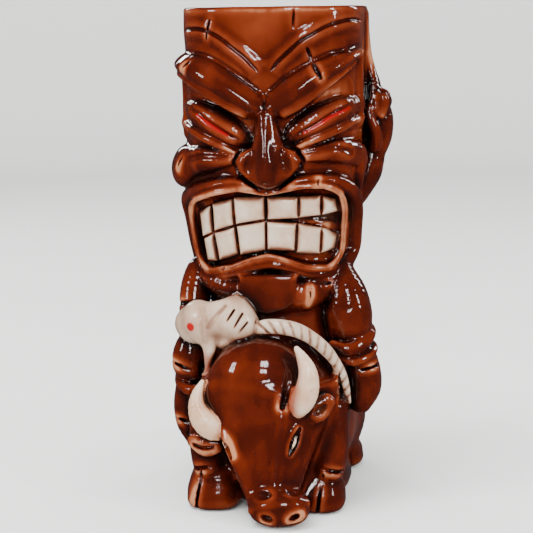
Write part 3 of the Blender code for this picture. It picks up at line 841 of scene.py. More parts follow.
# Each tooth's four corners, x and z. The rows run outward from the middle.
TEETH = {
    "tooth_upper_left": (((-11.3, 111), (-1, 111.9), (-1, 104), (-10.9, 102.2)),
        ((-19.6, 108.6), (-12.6, 110.4), (-12.2, 101.8), (-19.3, 99.4)),
        ((-25.6, 105), (-21, 107.6), (-20.6, 98.6), (-24.9, 96.4))),
    "tooth_lower_left": (((-10.6, 101.2), (-0.7, 103), (-0.9, 92.8), (-9.6, 91.2)),
        ((-19.2, 98.2), (-12, 100.6), (-11, 91.4), (-17.9, 88.6)),
        ((-24.4, 95.4), (-20.5, 97.5), (-19.2, 88.2), (-23.6, 86.9))),
    "tooth_upper_right": (((0.6, 111.6), (10.8, 111.2), (10.8, 104.6), (0.6, 104)),
        ((11.9, 111.4), (18.5, 111.6), (18.4, 105.5), (11.6, 104.8)),
        ((19.6, 111.2), (23.2, 110), (24.6, 106.4), (19.4, 105.5))),
    "tooth_lower_right": (((0.3, 102.8), (10.2, 102), (9.4, 92.8), (0.2, 93)),
        ((11.1, 101.9), (18.5, 99.9), (17.8, 91.4), (10.4, 92)),
        ((19.3, 99.6), (24.2, 96.8), (22.8, 92.6), (18.7, 91.6))),
}
TOOTH_ROOT, TOOTH_FRONT, TOOTH_STEP, TOOTH_EDGE, TOOTH_GROWTH = -3.5, 1.6, 0.25, 1.7, 0.6


def teeth():
    """Square teeth with worn corners, close together. Each stands a step behind its inner neighbour."""
    for name, row in TEETH.items():
        for number, outline in enumerate(row, start=1):
            front = TOOTH_FRONT - TOOTH_STEP * number
            tooth = Plate(outline, TOOTH_ROOT, front, TOOTH_EDGE, grow=TOOTH_GROWTH)
            add(f"{name}_{number}", tooth, blend=0.15)


def chin():
    """The chin, and on it the squared beard."""
    bar("chin", 1.2, [(-22.5, -18.5, 81.5, 3, 5), (-17, -21.5, 79.2, 5, 7.5), (-9, -23, 77, 6.6, 8.6),
        (1, -23.4, 76, 7.2, 8.8), (11, -22.8, 76.4, 6.7, 8.4), (18.5, -20.5, 78.6, 5, 7.2),
        (22.5, -18, 81.2, 3, 5)], corner=2.3)
    beard = ((-10.6, 84.5), (10.6, 84.5), (10.6, 74.6), (6.4, 71), (0.5, 69.2), (-5.5, 70.4), (-10.4, 74.8))
    add("goatee", Plate(beard, 0, 4.9, 2.2), blend=1.2)
    cut(0.6, [(11.2, -34, 84, 0.4, 2.2), (11.2, -33.6, 78, 0.4, 1.8), (10.4, -32.6, 73, 0.3, 1)])
    nick((15, 79), (14.2, 74.8), 3.4, wide=0.4)
    cut(0.8, [(14.5, -31, 81.8, 0.4, 0.9), (18.5, -29, 80.9, 0.4, 0.8), (21.5, -26, 80.6, 0.3, 0.6)])


# ---------------------------------------------------------------- the rider's limbs


def arm_with_rein():
    """The arm that holds the rope, its glove and its cuff."""
    bar("rein_arm", 0.9, [(-26, -13.5, 87, 2.6, 3.4), (-27.6, -15.5, 82.5, 4.8, 5.4),
        (-28.6, -18, 75.5, 5.6, 6.6), (-28.8, -20, 68.5, 5.4, 6.8), (-28.9, -20, 62.5, 4.6, 6)], corner=2.2)
    cut(1, [(-34.6, -20, 71.6, 0.5, 1), (-30, -26.4, 72.6, 0.5, 1), (-25, -29, 73.8, 0.4, 0.8)],
        face=(-0.4, -0.9, 0))
    bar("glove_cuff", 0.8, [(-29.4, -22, 64.6, 5.2, 6.2), (-27, -28, 65.6, 7, 6.6),
        (-24, -32.4, 66.6, 7.6, 6)], corner=2.3)
    add("glove_cuff", Blob((-25.4, -33, 70.6), (3.6, 4.4, 3.8)), blend=2)
    bar("glove_cuff", 1.4, [(-20.4, -36, 61, 3, 2.4), (-20.2, -37.4, 57.4, 2.2, 1.8),
        (-21, -37, 53.4, 1.2, 1.3), (-21.4, -35.6, 48.4, 0.7, 0.9)])
    paint("stain", Limb([(-21.2, -36.8, 55, 2.4, 3), (-20.9, -35.6, 46, 2.4, 3)]), softness=1.8)
    mitten = ((-10.8, 77), (-14.2, 75.8), (-17.5, 73), (-21, 71.8), (-24.4, 66), (-23, 58.2), (-16.4, 56.8),
        (-10.9, 58.6), (-6.3, 61.4), (-3.6, 65.1), (-3, 68.4), (-5.5, 72.3), (-8.1, 75.6))
    add("glove_hand", Plate(mitten, 0.5, 10.4, 4.4), blend=1.2)
    add("glove_hand", Blob((-9.6, -37.6, 68.6), (5.4, 4.6, 6.8), turn=(0, -34, 0)), blend=4)
    add("glove_hand", Blob((-22.4, -36.2, 66.2), (4, 4.2, 6)), blend=3)
    bar("glove_hand", 2.6, [(-24.6, -34, 68.6, 5, 5), (-19.6, -35.6, 69.2, 5.6, 5.2),
        (-13.6, -36.4, 69.8, 6.4, 5.2)], corner=2.2)
    knuckles = (((-10.5, 73), (-12.8, 69.4)), ((-7.6, 71.8), (-10.4, 67)), ((-6, 68.6), (-9.2, 64.6)))
    for start, end in knuckles:
        middle = ((start[0] + end[0]) / 2, (start[1] + end[1]) / 2)
        cut(0.6, [(start[0], -41, start[1], 0.2, 0.8), (middle[0], -42, middle[1], 0.3, 0.8),
            (end[0], -42.4, end[1], 0.2, 0.7)])
    cut(2, [(-22.4, -40.6, 74, 0.2, 0.5), (-21.4, -41.8, 68, 0.3, 0.5), (-21.2, -41.2, 61.5, 0.3, 0.6)])
    cut(1.2, [(-19.8, -41.6, 66.6, 0.2, 0.6), (-17.4, -41.8, 70.2, 0.3, 0.7), (-13.8, -41, 74.2, 0.2, 0.6)])
    paint("red", Blob((-26.6, -38.6, 66.4), (1.6, 4, 1.6)), softness=0.2)


def raised_arm():
    """The arm thrown up beside the head, its open hand lying against the mug."""
    bar("raised_hand", 0.9, [(34.6, 3.2, 125.5, 3.8, 5), (36.6, 3.4, 131, 5.8, 5.2),
        (37.2, 3.6, 136.5, 6.6, 5), (36.6, 3.8, 141.5, 6.6, 4)], face=OUTWARD, corner=2.4)
    bar("raised_hand", 0.7, [(33, -3, 141.5, 1.4, 1.8), (34.6, -4.6, 137.5, 2, 2.4),
        (36.4, -3.8, 132, 2.4, 2.6), (35.8, -1.6, 127.6, 2.6, 2.8)])
    first_finger, finger_pitch = -3.4, 4.1
    for place, tip in enumerate((146.8, 148, 147.6, 145.8)):
        y = first_finger + finger_pitch * place
        bar("raised_fingers", 0.4, [(37.6, y, 139, 1.8, 2.4), (39, y, 143, 1.9, 2.4),
            (38.8, y, tip - 2, 1.8, 2.2)], face=OUTWARD)
    bar("raised_forearm", 1, [(21.4, 4.4, 85, 3.6, 2.4), (23.2, 3.6, 94, 5, 3.2),
        (25.8, 3, 104.5, 5.8, 3.8), (29.8, 3.4, 111.5, 6.6, 4.6), (33, 3.8, 117.5, 6.2, 5),
        (34.4, 3.8, 122, 5.4, 4.6)], face=OUTWARD)
    cut(0.7, [(37.8, -3.6, 119.6, 0.4, 1), (40, 3.6, 119.2, 0.4, 1.1), (37.8, 10.2, 119.6, 0.4, 1)],
        face=OUTWARD)
    bar("raised_hand", 2.4, [(32.6, 1, 175, 2.4, 0.7), (32.9, 1, 164, 2.6, 1.2), (34, 1.6, 155, 3, 1.9),
        (35.4, 2, 148, 5.6, 2.6), (34.6, 0, 140, 6, 2.4)], face=OUTWARD)


def legs():
    """Bent knees with folded trouser cuffs, over short boots."""
    bar("thigh_right", 1, [(24.8, -12, 88, 2, 3), (25.6, -16.6, 81.8, 4.6, 6.4), (27, -19.4, 75, 7.2, 8.2),
        (27.8, -20.4, 68, 8.4, 8.8), (27.8, -20.2, 63.6, 7.8, 8.2)], corner=2.2)
    cut(1.2, [(20.6, -29, 73, 0.4, 0.8), (25, -30.4, 71.6, 0.5, 0.9), (29, -30, 71.8, 0.4, 0.7)])
    bar("thigh_left", 0.9, [(-28, -20, 60, 4.6, 5.8), (-30, -22.4, 55, 5.8, 6.4),
        (-30.6, -22.8, 50.4, 6.1, 6.6), (-29.4, -22.8, 46, 4.8, 5.8)], corner=2.2)
    cut(1, [(-36.6, -21, 52.4, 0.5, 1), (-32.4, -28.6, 50, 0.5, 1), (-26.4, -30, 47.2, 0.4, 0.8)],
        face=(-0.5, -0.85, 0))
    bar("knee_cuff_right", 1.2, [(22.6, -28.4, 58, 1.8, 2.4), (28.4, -28.8, 57, 2.4, 2.6),
        (33, -25, 58.6, 2.6, 3), (35, -18.4, 61.8, 2.5, 2.2), (32.4, -10.8, 64, 1.6, 1.2)], face=UP)
    cut(0.7, [(22.6, -31, 60, 0.3, 0.8), (28.4, -31.8, 59.4, 0.35, 0.9), (34.6, -28, 61.4, 0.35, 0.9),
        (38.6, -19, 64.6, 0.3, 0.8)])
    bar("knee_cuff_right", 1, [(24.6, -27.6, 53.2, 1.6, 1.5), (29.6, -28, 52.6, 2, 1.7),
        (34.4, -24.4, 53.8, 2.2, 1.8), (36, -18, 55.8, 2, 1.8), (33.6, -10.8, 57.2, 1.2, 1.1)],
        face=UP)
    bar("knee_cuff_left", 0.8, [(-23.8, -30, 42.4, 1.8, 2), (-28.4, -30.2, 41.4, 2.2, 2.2),
        (-32.8, -26, 43.2, 2.4, 2.2), (-34.4, -18.6, 46.4, 2, 2.2)], face=UP)
    bar("boot_right", 0.8, [(31.8, -19.6, 53, 5.4, 6.4), (33, -20.2, 48, 6.1, 6.8),
        (33.4, -20.6, 42, 5.8, 6.8), (32, -21.2, 36.6, 4.2, 5.8)], corner=2.3)
    cut(0.8, [(26.4, -27.2, 50.2, 0.4, 0.8), (32, -28, 49.4, 0.4, 0.9), (38.6, -22, 50.4, 0.4, 0.9)])
    bar("boot_left", 0.8, [(-31.2, -21.4, 40, 4.8, 5.8), (-31.8, -21.8, 33.5, 4.8, 6),
        (-31.2, -22.6, 27.6, 4.2, 5.4), (-29.8, -23.4, 22.6, 2.6, 4)], corner=2.3)
    cut(0.8, [(-35.6, -22.6, 31, 0.4, 0.9), (-31.6, -28, 29.4, 0.4, 0.9), (-26.8, -28.4, 28.6, 0.4, 0.8)])


ROPE = ((-4.8, -36.4, 65, 2.2), (-0.2, -38.2, 66.6, 2.5), (5.3, -38, 66.6, 2.5), (11.4, -37.2, 65.2, 2.4),
    (17, -36, 61.8, 2.2), (21.2, -34.4, 57.6, 2), (24.4, -32.8, 52.8, 1.7), (26.6, -31.2, 47.6, 1.4),
    (27.8, -29.8, 42.4, 1.1), (28.2, -28.6, 38, 0.8))


def rope():
    """A flat rope round the bull, cut across by the lay of its strands."""
    bar("bull_rope", 0.7, [(x, y, z, half + 0.2, min(half, 1.9)) for x, y, z, half in ROPE], corner=2.3)
    path, path_halves = np.array([row[:3] for row in ROPE]), [row[3] for row in ROPE]
    lengths = np.concatenate([[0], np.cumsum(np.linalg.norm(np.diff(path, axis=0), axis=1))])
    start_of_lay, lay = 4, 3.5
    for along in np.arange(start_of_lay, lengths[-1] - 1, lay):
        middle = np.array([np.interp(along, lengths, path[:, k]) for k in range(3)])
        ahead = unit(np.array([np.interp(along + 1, lengths, path[:, k]) for k in range(3)]) - middle)
        across = unit(np.cross(ahead, (0.25, -1, 0)))
        half = np.interp(along, lengths, path_halves)
        start = middle - across * half - ahead * half * 0.6
        end = middle + across * half + ahead * half * 0.6
        raised = np.array((0.33, -0.93, 0.15)) * min(half, 1.9)
        cut(0.8, [(*(start + raised * 0.7), 0.15, 0.3), (*(middle + raised * 1.18), 0.15, 0.3),
            (*(end + raised * 0.7), 0.15, 0.3)])


# ---------------------------------------------------------------- the bull


def bull_body():
    """The bull's chest and shoulders, with a channel down the inside of each foreleg."""
    add("bull_neck", Stack([(9, 0, -23, 24.6, 11), (14, 0, -23.6, 26.2, 13), (21, 0.6, -24, 27, 15),
        (32, 1, -24.6, 27.4, 16.6), (42, 1, -24.6, 26, 16.4), (51, 1.4, -24.4, 21.6, 15.6),
        (58.5, 2, -24, 16, 14.2), (63, 2.4, -23.4, 10.6, 12.4)], corner=2.2, edge=5), blend=0.8)
    for side in (LEFT, RIGHT):
        cut(1.2, [(side * 8.5 + 1, -39, 14, 1, 3), (side * 9 + 1, -38, 8, 2.2, 4),
            (side * 7, -38, 1, 2.4, 4)])


CHEEK_CORNER = (19.8, -43, 31)
BROW_LOW, BROW_HIGH = (-18, -46, 35.6), (8.2, -51.5, 41.5)
MUZZLE_LEFT, MUZZLE_RIGHT = (-3.8, -57, 9), (5.6, -58.5, 12)


def bull_head():
    """A lowered head: a domed crown, one flat broad face and a flat right cheek, over a blunt muzzle."""
    add("bull_head", Blob((-2.4, -36.6, 46), (18.2, 12.8, 17.4), corner=2.1), blend=0.8)
    faces = (
        (BROW_LOW, BROW_HIGH, MUZZLE_RIGHT, MUZZLE_LEFT),
        (BROW_HIGH, MUZZLE_RIGHT, CHEEK_CORNER),
        (BROW_LOW, MUZZLE_LEFT, (-16, -36, 24)),
        ((20, -42, 31), (15, -52, 17), (16.4, -36, 20)),
        ((-10, -48, 7), (12, -48, 6), (0, -36, 11)),
        ((-18, -40, 47), (18, -40, 47), (0, -50, 45.5)),
        ((-18, -30, 30), (18, -30, 30), (0, -30, 10)),
    )
    add("bull_head", Facets((3, -42, 28), faces, blend=1.8), blend=5)
    ridge = [tuple(a + (b - a) * t for a, b in zip(BROW_LOW, MUZZLE_LEFT)) for t in (0.3, 0.5, 0.7, 0.9)]
    bar("bull_head", 4, [(x + 1.9, y + 1.9, z, 1.3, 1.3) for x, y, z in ridge])
    add("bull_head", Blob((6.6, -55.2, 6.6), (10.6, 8, 6.6), turn=(-6, 0, -6), corner=2.4), blend=2.6)
    bar("bull_head", 1.4, [(-2.6, -58.6, 6, 1, 1.4), (2, -61, 8.4, 1, 1.3), (7, -61.6, 9.2, 1, 1.3),
        (12.6, -60.4, 9.2, 1.1, 1.3), (16.2, -56.5, 8.8, 1, 1.3)])
    for x, y, z, tilt in ((3.2, -62, 4.4, 14), (12.4, -61.2, 5.2, -20)):
        carve(Blob((x, y, z), (2, 1.8, 1.1), turn=(0, tilt, 0)), blend=0.7)
        # Painted shade in the nostril.
        paint("painted_shade", Blob((x, y + 0.4, z), (1.8, 2.2, 1)), softness=0.4)
    cut(0.8, [(-1.6, -59.4, 2.4, 0.4, 0.8), (3.6, -61.8, 1.2, 0.4, 0.9), (9.5, -61.8, 1.3, 0.4, 0.9),
        (15.4, -58, 3.2, 0.4, 0.8)])
    carve(Blob((12.4, -57.6, 13), (2.6, 1.8, 1.6), turn=(0, -20, 0)), blend=1.4)
    carve(Blob((1.6, -59.6, 11.8), (2.8, 1.4, 1.2), turn=(0, 10, 0)), blend=1.4)


def bull_face():
    """Eyes, ears and horns."""
    sideways = (0.65, -0.75, 0.1)
    slit = ((13, -48.8, 33, 0.5), (12.1, -49.9, 30.6, 1.3), (11, -51.3, 27.4, 1.5), (10, -52.6, 24.6, 0.5))
    bar("bull_head", 1.4, [(x, y, z, half + 0.8, 0.8) for x, y, z, half in slit], face=sideways)
    cut(0.7, [(x + 0.4, y - 0.45, z, half, 0.6 + half * 0.5) for x, y, z, half in slit], face=sideways)
    # Painted shade in the slit cut round the eye.
    paint("painted_shade", Limb([(x, y, z, half, 2) for x, y, z, half in slit], face=sideways), softness=0.35)
    bar("bull_eye_right", 0.2, [(11.9, -50.1, 30.4, 0.35, 0.6), (11.4, -50.9, 28.6, 0.85, 1),
        (10.7, -51.7, 26.4, 0.35, 0.6)], face=sideways)
    cut(0.8, [(-14.6, -46, 29.4, 0.6, 1), (-12.4, -48.6, 26.4, 1.2, 1.3), (-10.4, -50.8, 22.6, 0.6, 1)],
        face=(-0.85, -0.4, -0.2))
    add("bull_eye_left", Blob((-12.6, -46.4, 26.4), (1.3, 1.5, 2), turn=(0, -24, 0)), blend=0.3)
    bar("horn_right", 0.7, [(9.8, -44.5, 37.6, 3, 3.2), (13.2, -48.2, 41.6, 4.4, 3.6),
        (16, -49.4, 47, 4.2, 3.4), (16.4, -49.2, 52.6, 3.3, 2.8), (14.4, -48, 57.4, 2.2, 2),
        (12.2, -47, 60.8, 0.9, 0.9)])
    cut(1.2, [(7.4, -49.8, 40.6, 0.8, 1.4), (8.6, -49.4, 46, 1.2, 2.2), (9.4, -48.2, 52.4, 1.1, 2),
        (10.4, -46.6, 57.6, 0.5, 1)])
    paint("stain", Limb([(9.6, -49.6, 40, 3.2, 6), (10.8, -50, 46.4, 2.8, 6), (11.6, -49, 53.4, 2, 5),
        (11.6, -48, 58, 1, 4)]), softness=1.6)
    bar("horn_left", 0.7, [(-13.4, -43, 30.6, 3.4, 3.2), (-17.8, -45.2, 31.6, 4.6, 3.8),
        (-21.6, -45.6, 34.6, 4.4, 3.6), (-23.8, -44.8, 39, 3.2, 2.8), (-23.6, -43.6, 43.4, 2.1, 2),
        (-22, -42.8, 47.4, 0.9, 0.9)])
    bar("bull_ear_right", 0.8, [(14.6, -44, 35.6, 2.6, 1.8), (18.6, -44.2, 38.2, 4.2, 2.4),
        (22.8, -42.8, 42, 2.6, 1.8)])
    carve(Blob((20.2, -46.4, 39.2), (2.9, 1.8, 1.5), turn=(0, -36, 0)), blend=0.7)
    # Painted shade in the ear's hollow.
    paint("painted_shade", Blob((20.2, -46, 39.2), (2.7, 1.8, 1.3), turn=(0, -36, 0)), softness=0.5)
    bar("bull_ear_left", 0.8, [(-17, -42.6, 24.4, 2.6, 1.8), (-21.4, -42.2, 24, 3.9, 2.4),
        (-26.6, -39.6, 25.4, 2.4, 1.8)])
    cut(0.8, [(-18.4, -45, 24.4, 0.5, 1.4), (-22, -44.4, 23.8, 0.7, 1.6), (-25.6, -42, 24.4, 0.4, 1.2)])


HOOF = ((0, -33, 8.8, 9.8), (3, -33, 9.4, 10.5), (7, -32.4, 9.2, 10.2), (11, -31.4, 8.2, 8.8),
    (15.5, -31, 6.6, 7.4))


def bull_legs():
    """Forelegs, cloven hooves, and the haunches over the rear hooves."""
    feet = ((-20, 0.5, -24.4, -41.2), (18.4, -0.4, 19.2, -42.4))
    for (side, word), (foot, girth, cleft, cleft_y) in zip(SIDES, feet):
        bar(f"foreleg_{word}", 1, [(side * 24, -31, 36, 4.6, 6), (side * 23.8, -33, 28, 5, 6.4),
            (side * 22.6, -34.4, 20.4, 5.8, 6.4), (side * 21.6, -35, 15.6, 5.8, 6.2)])
        cut(0.8, [(side * 16, -41, 16.6, 0.6, 1), (side * 21, -41.8, 16, 0.7, 1.2),
            (side * 27, -37.6, 14.6, 0.6, 1)])
        add(f"hoof_front_{word}", Stack([(z, foot, y, wide + girth, deep) for z, y, wide, deep in HOOF],
            corner=2.4, edge=2.6), blend=0.9)
        cut(0.6, [(cleft + 1, cleft_y + 1.8, 14, 0.3, 0.9), (cleft, cleft_y, 8, 0.4, 1.3),
            (cleft - 0.8, cleft_y - 0.3, 1, 0.5, 1.4)])
        # Painted shade down the hoof's cleft.
        paint("painted_shade", Limb([(cleft + 0.6, cleft_y + 0.8, 12, 0.3, 1.2),
            (cleft, cleft_y + 0.4, 8, 0.45, 1.6), (cleft - 0.8, cleft_y + 0.2, 1, 0.6, 1.6)]),
            softness=0.35)
        add(f"hoof_rear_{word}", Stack([(0, side * 18.6, 27, 9, 9.4), (2.5, side * 18.6, 27, 9.9, 10.4),
            (7, side * 18.6, 26.6, 9.4, 9.8), (12, side * 18.6, 26, 7, 7.6)], corner=2.5, edge=2.4),
            blend=0.8)
        cut(0.7, [(side * 18.6, 35.6, 10, 0.4, 1), (side * 18.6, 37.2, 5, 0.5, 1.2),
            (side * 18.6, 37.2, 1, 0.5, 1.2)], face=BACK)
        bar(f"haunch_{word}", 3, [(side * 21.6, 22, 12, 6.4, 5.6), (side * 22.2, 19, 21, 10, 7.8),
            (side * 21.8, 15, 32, 12.4, 8), (side * 20, 11, 42, 9.4, 7)], face=(side, 0, 0))
        carve(round_limb([(side * 128, 47, 0.2, 0.8, 0.9), (side * 140, 40, 0.6, 1, 1.3),
            (side * 146, 30, 0.8, 1, 1.3), (side * 146, 20, 0.6, 0.7, 1)]), blend=1.6)


def bull_tail():
    """The tail lies down the back of the mug and ends in a tuft of parted hair."""
    bar("bull_tail", 0.7, [(0, 34.5, 56, 1.8, 2.4), (1.4, 37.2, 49, 2, 2.2), (4.6, 38.5, 39, 1.9, 2),
        (7.8, 38.3, 30, 2, 2), (9.3, 37.9, 23, 2.8, 2.3), (9.2, 37.6, 17, 3.2, 2.6),
        (7.8, 37.4, 11.6, 1.4, 1.7)], face=BACK)
    for shift in (-1.2, 0.9):
        cut(0.5, [(9.2 + shift, 40.6, 23, 0.35, 0.7), (9.4 + shift, 40.6, 18, 0.45, 0.9),
            (8.4 + shift * 0.6, 39.4, 13, 0.3, 0.7)], face=BACK)


def back_and_sides():
    """Behind the face: locks of hair, and under them the rider's coat down to its hem."""
    for angle in range(110, 251, 20):
        sway = 5 * math.sin(math.radians(angle * 3))
        lock = [(angle, 171, 0.3, 0.7, 0.9), (angle + sway, 156, 0.1, 1, 1.1),
            (angle - sway, 141, 0.1, 1, 1.1), (angle + sway * 0.6, 127, 0.1, 0.9, 1),
            (angle, 117, 0.3, 0.6, 0.8)]
        add(SHELL, round_limb([(a + 5, z, -0.6, 3, 1.2) for a, z, *_ in lock]), blend=2.4)
        carve(round_limb(lock), blend=1.4)
    hair_edge = [(angle, 113.5 + 2 * math.sin(math.radians(angle * 9)), -0.2, 1.5, 1.5)
        for angle in range(104, 260, 10)]
    add(SHELL, round_limb(hair_edge), blend=1.6)
    seam = ((180, 108), (181, 96), (179, 82), (180, 68))
    carve(round_limb([(angle, z, 0.1, 0.9, 1) for angle, z in seam]), blend=1.4)
    behind = 180
    for side in (LEFT, RIGHT):
        for start, end, top in ((62, 30, 104), (52, 22, 92), (58, 34, 80)):
            halfway = behind + side * (start + end) / 2
            fold = [(behind + side * start, top, 0.2, 0.7, 0.8), (halfway, top - 5, 0.1, 1.1, 1.1),
                (behind + side * end, top - 7.5, 0.3, 0.6, 0.8)]
            carve(round_limb(fold), blend=1.6)
    hem = [(angle, 62 - 3 * math.cos(math.radians(2 * angle)), -0.2, 1.9, 1.8)
        for angle in range(76, 286, 12)]
    add(SHELL, round_limb(hem), blend=1.4)
    carve(round_limb([(angle, z - 2.8, 0.2, 0.8, 0.9) for angle, z, *_ in hem]), blend=1.4)


# The order matters: a cut goes through all that was added before it.
for section in (back_and_sides, forehead, eye_sockets, chin, brows, eyes, temples, cheeks, mouth, nose, teeth,
        bull_body, legs, arm_with_rein, raised_arm, bull_legs, rope, bull_head, bull_face, bull_tail):
    section()


# ---------------------------------------------------------------- the pieces

PIECE_MARGIN = 2.6
# The sides of the cells that a piece's surface is found in. The vessel's back is the coarsest.
FINE, MEDIUM, WIDE = 0.37 * COARSENESS, 0.46 * COARSENESS, 0.93 * COARSENESS
FINE_WORDS = ("tooth", "glove", "bull_rope", "raised_fingers", "horn", "bull_eye", "eye_", "nose")
SLOT_WORDS = ((SHELL, "mug_glaze"), ("tooth", "teeth_glaze"), ("glove", "glove_and_rope_glaze"),
              ("bull_rope", "glove_and_rope_glaze"), ("horn", "horn_glaze"), ("bull_eye", "bull_eye_glaze"))


def slot_of(node):
    """The record's material slot that a CAD node takes its finish from."""
    for word, slot in SLOT_WORDS:
        if node.startswith(word):
            return slot
    return "brown_glaze"


def reach_of(owner):
    """The box that holds every shape of that piece, with a margin for the fillets, in millimetres."""
    shapes = [shape for kind, name, shape, _ in steps_of_clay if kind == ADDED and name == owner]
    low = np.min([shape.low for shape in shapes], axis=0) - PIECE_MARGIN
    high = np.max([shape.high for shape in shapes], axis=0) + PIECE_MARGIN
    return low, high


def pieces_to_make():
    """Each piece as its object's name, its claim, the CAD node it replaces, its box and its cell size."""
    vessel_low, vessel_high = np.array([-35.0, -35.0, 0.0]), np.array([35.0, 40.0, DESIGN_HEIGHT])
    forehead_low, forehead_high = np.array([-35.0, -35.0, 132.0]), np.array([35.0, -7.0, DESIGN_HEIGHT])
    jobs = [
        (BODY, BODY, SHELL, vessel_low, vessel_high, WIDE),
        (FOREHEAD, FOREHEAD, SHELL, forehead_low, forehead_high, MEDIUM),
    ]
    for node in sorted(frame["nodes"]):
        if node == SHELL:
            continue
        fine = any(node.startswith(word) for word in FINE_WORDS)
        jobs.append((f"{node}_form", node, node, *reach_of(node), FINE if fine else MEDIUM))
    return jobs


# ---------------------------------------------------------------- the glazes


# A mix node has sockets of the same names for numbers, vectors and colours. These are the colours'.
MIX_A, MIX_B, MIX_RESULT = 6, 7, 2


class Nodes:
    """A material's node tree, with a method for each kind of node that the glazes use."""

    def __init__(self, name):
        self.material = bpy.data.materials.new(name)
        self.material.use_nodes = True
        self.tree = self.material.node_tree
        self.shader = self.tree.nodes["Principled BSDF"]

    def link(self, source, target):
        """Sets a socket to a number or a colour, or links another node's output to it."""
        if isinstance(source, (int, float)):
            target.default_value = source
        elif isinstance(source, tuple):
            target.default_value = (*source, 1.0)
        else:
            self.tree.links.new(source, target)

    def mark(self, name):
        """One of the marks that surface_marks leaves on a mesh."""
        node = self.tree.nodes.new("ShaderNodeAttribute")
        node.attribute_name = name
        return node.outputs["Fac"]

    def noise(self, scale, detail=3.0, stretch=(1, 1, 1)):
        """Noise from 0 to 1, with that many lumps to a millimetre."""
        place = self.tree.nodes.new("ShaderNodeTexCoord")
        mapping = self.tree.nodes.new("ShaderNodeMapping")
        mapping.inputs["Scale"].default_value = stretch
        self.link(place.outputs["Object"], mapping.inputs["Vector"])
        node = self.tree.nodes.new("ShaderNodeTexNoise")
        node.inputs["Scale"].default_value = scale / MM
        node.inputs["Detail"].default_value = detail
        self.link(mapping.outputs["Vector"], node.inputs["Vector"])
        return node.outputs["Fac"]

    def math(self, operation, a, b=0.0):
        node = self.tree.nodes.new("ShaderNodeMath")
        node.operation = operation
        self.link(a, node.inputs[0])
        self.link(b, node.inputs[1])
        return node.outputs["Value"]

    def weigh(self, base, *terms):
        """base plus each value times its weight."""
        total = base
        for value, weight in terms:
            total = self.math("ADD", self.math("MULTIPLY", value, weight), total)
        return total

    def ramp(self, value, stops):
        """The colour that a value has between stops of a place and a colour."""
        node = self.tree.nodes.new("ShaderNodeValToRGB")
        ramp = node.color_ramp
        while len(ramp.elements) < len(stops):
            ramp.elements.new(0.5)
        for element, (place, colour) in zip(ramp.elements, stops):
            element.position = place
            element.color = (*colour, 1.0)
        self.link(value, node.inputs["Fac"])
        return node.outputs["Color"]

    def mix(self, share, a, b):
        """Colour a with that share of colour b over it."""
        node = self.tree.nodes.new("ShaderNodeMix")
        node.data_type = "RGBA"
        self.link(share, node.inputs["Factor"])
        self.link(a, node.inputs[MIX_A])
        self.link(b, node.inputs[MIX_B])
        return node.outputs[MIX_RESULT]

    def bump(self, height, depth, strength):
        """Unevenness of the glaze itself, up to depth millimetres."""
        node = self.tree.nodes.new("ShaderNodeBump")
        node.inputs["Distance"].default_value = depth * MM
        node.inputs["Strength"].default_value = strength
        self.link(height, node.inputs["Height"])
        self.link(node.outputs["Normal"], self.shader.inputs["Normal"])

    def finish(self, colour, roughness, **sockets):
        """The material, once its shader has those values. A socket's name has _ for a space."""
        self.link(colour, self.shader.inputs["Base Color"])
        self.link(roughness, self.shader.inputs["Roughness"])
        for name, value in sockets.items():
            self.shader.inputs[name.replace("_", " ")].default_value = value
        return self.material


# The ramp runs from tan on thin edges to near-black; its darkest colour is painted shade, reached in creases
# and hollows and mixed in where cuts are marked for shade.
TAN, AMBER, CHESTNUT = (0.36, 0.150, 0.075), (0.150, 0.027, 0.008), (0.080, 0.0090, 0.0020)
OXBLOOD, UMBER, SHADE_BLACK = (0.036, 0.0034, 0.0009), (0.013, 0.0018, 0.0009), (0.004, 0.0014, 0.0010)
RED_PAINT = (0.30, 0.003, 0.004)


def brown_glaze():
    """A glassy red-brown that runs thin and tan off the edges and pools deeper in creases, with painted shade
    in its creases and hollows.
    """
    nodes = Nodes("brown glaze")
    cloud = nodes.noise(0.06, 3.0)
    streak = nodes.noise(0.22, 5.0, stretch=(1.0, 1.0, 0.4))
    worn = nodes.math("MULTIPLY", nodes.math("MINIMUM", nodes.mark("edge"), 0.6),
        nodes.weigh(0.3, (streak, 1.8)))
    # The pool and hollow marks add painted shade in creases and hollows over the glaze's real pooling; cloud
    # and streak are its own uneven tone; worn is thin glaze on edges.
    darkness = nodes.weigh(0.10, (nodes.mark("pool"), 0.46), (nodes.mark("hollow_shade"), 0.38), (worn, -0.78),
                           (cloud, 0.62), (streak, 0.26))
    stops = ((0.0, TAN), (0.20, AMBER), (0.42, CHESTNUT), (0.58, OXBLOOD), (0.78, UMBER), (1.0, SHADE_BLACK))
    colour = nodes.ramp(darkness, stops)
    colour = nodes.mix(nodes.mark("red"), colour, RED_PAINT)
    # Painted shade, near-black, in the cracks, clefts and holes marked for it.
    colour = nodes.mix(nodes.math("MULTIPLY", nodes.mark("painted_shade"), 0.9), colour, SHADE_BLACK)
    nodes.bump(nodes.weigh(0.0, (nodes.noise(0.5, 2.0), 0.35), (nodes.noise(0.11, 2.0), 1.0)), 0.22, 0.5)
    return nodes.finish(colour, nodes.weigh(0.04, (streak, 0.08)), Specular_IOR_Level=0.5, Coat_Weight=0.25,
                        Coat_Roughness=0.02)


CREAM, WARM = (0.60, 0.46, 0.34), (0.48, 0.28, 0.17)
# The deepest colour is where the brown wash and painted shade meet in the deepest creases.
WASH, DEEP_WASH_AND_SHADE, RUST = (0.24, 0.095, 0.05), (0.050, 0.016, 0.009), (0.20, 0.030, 0.010)


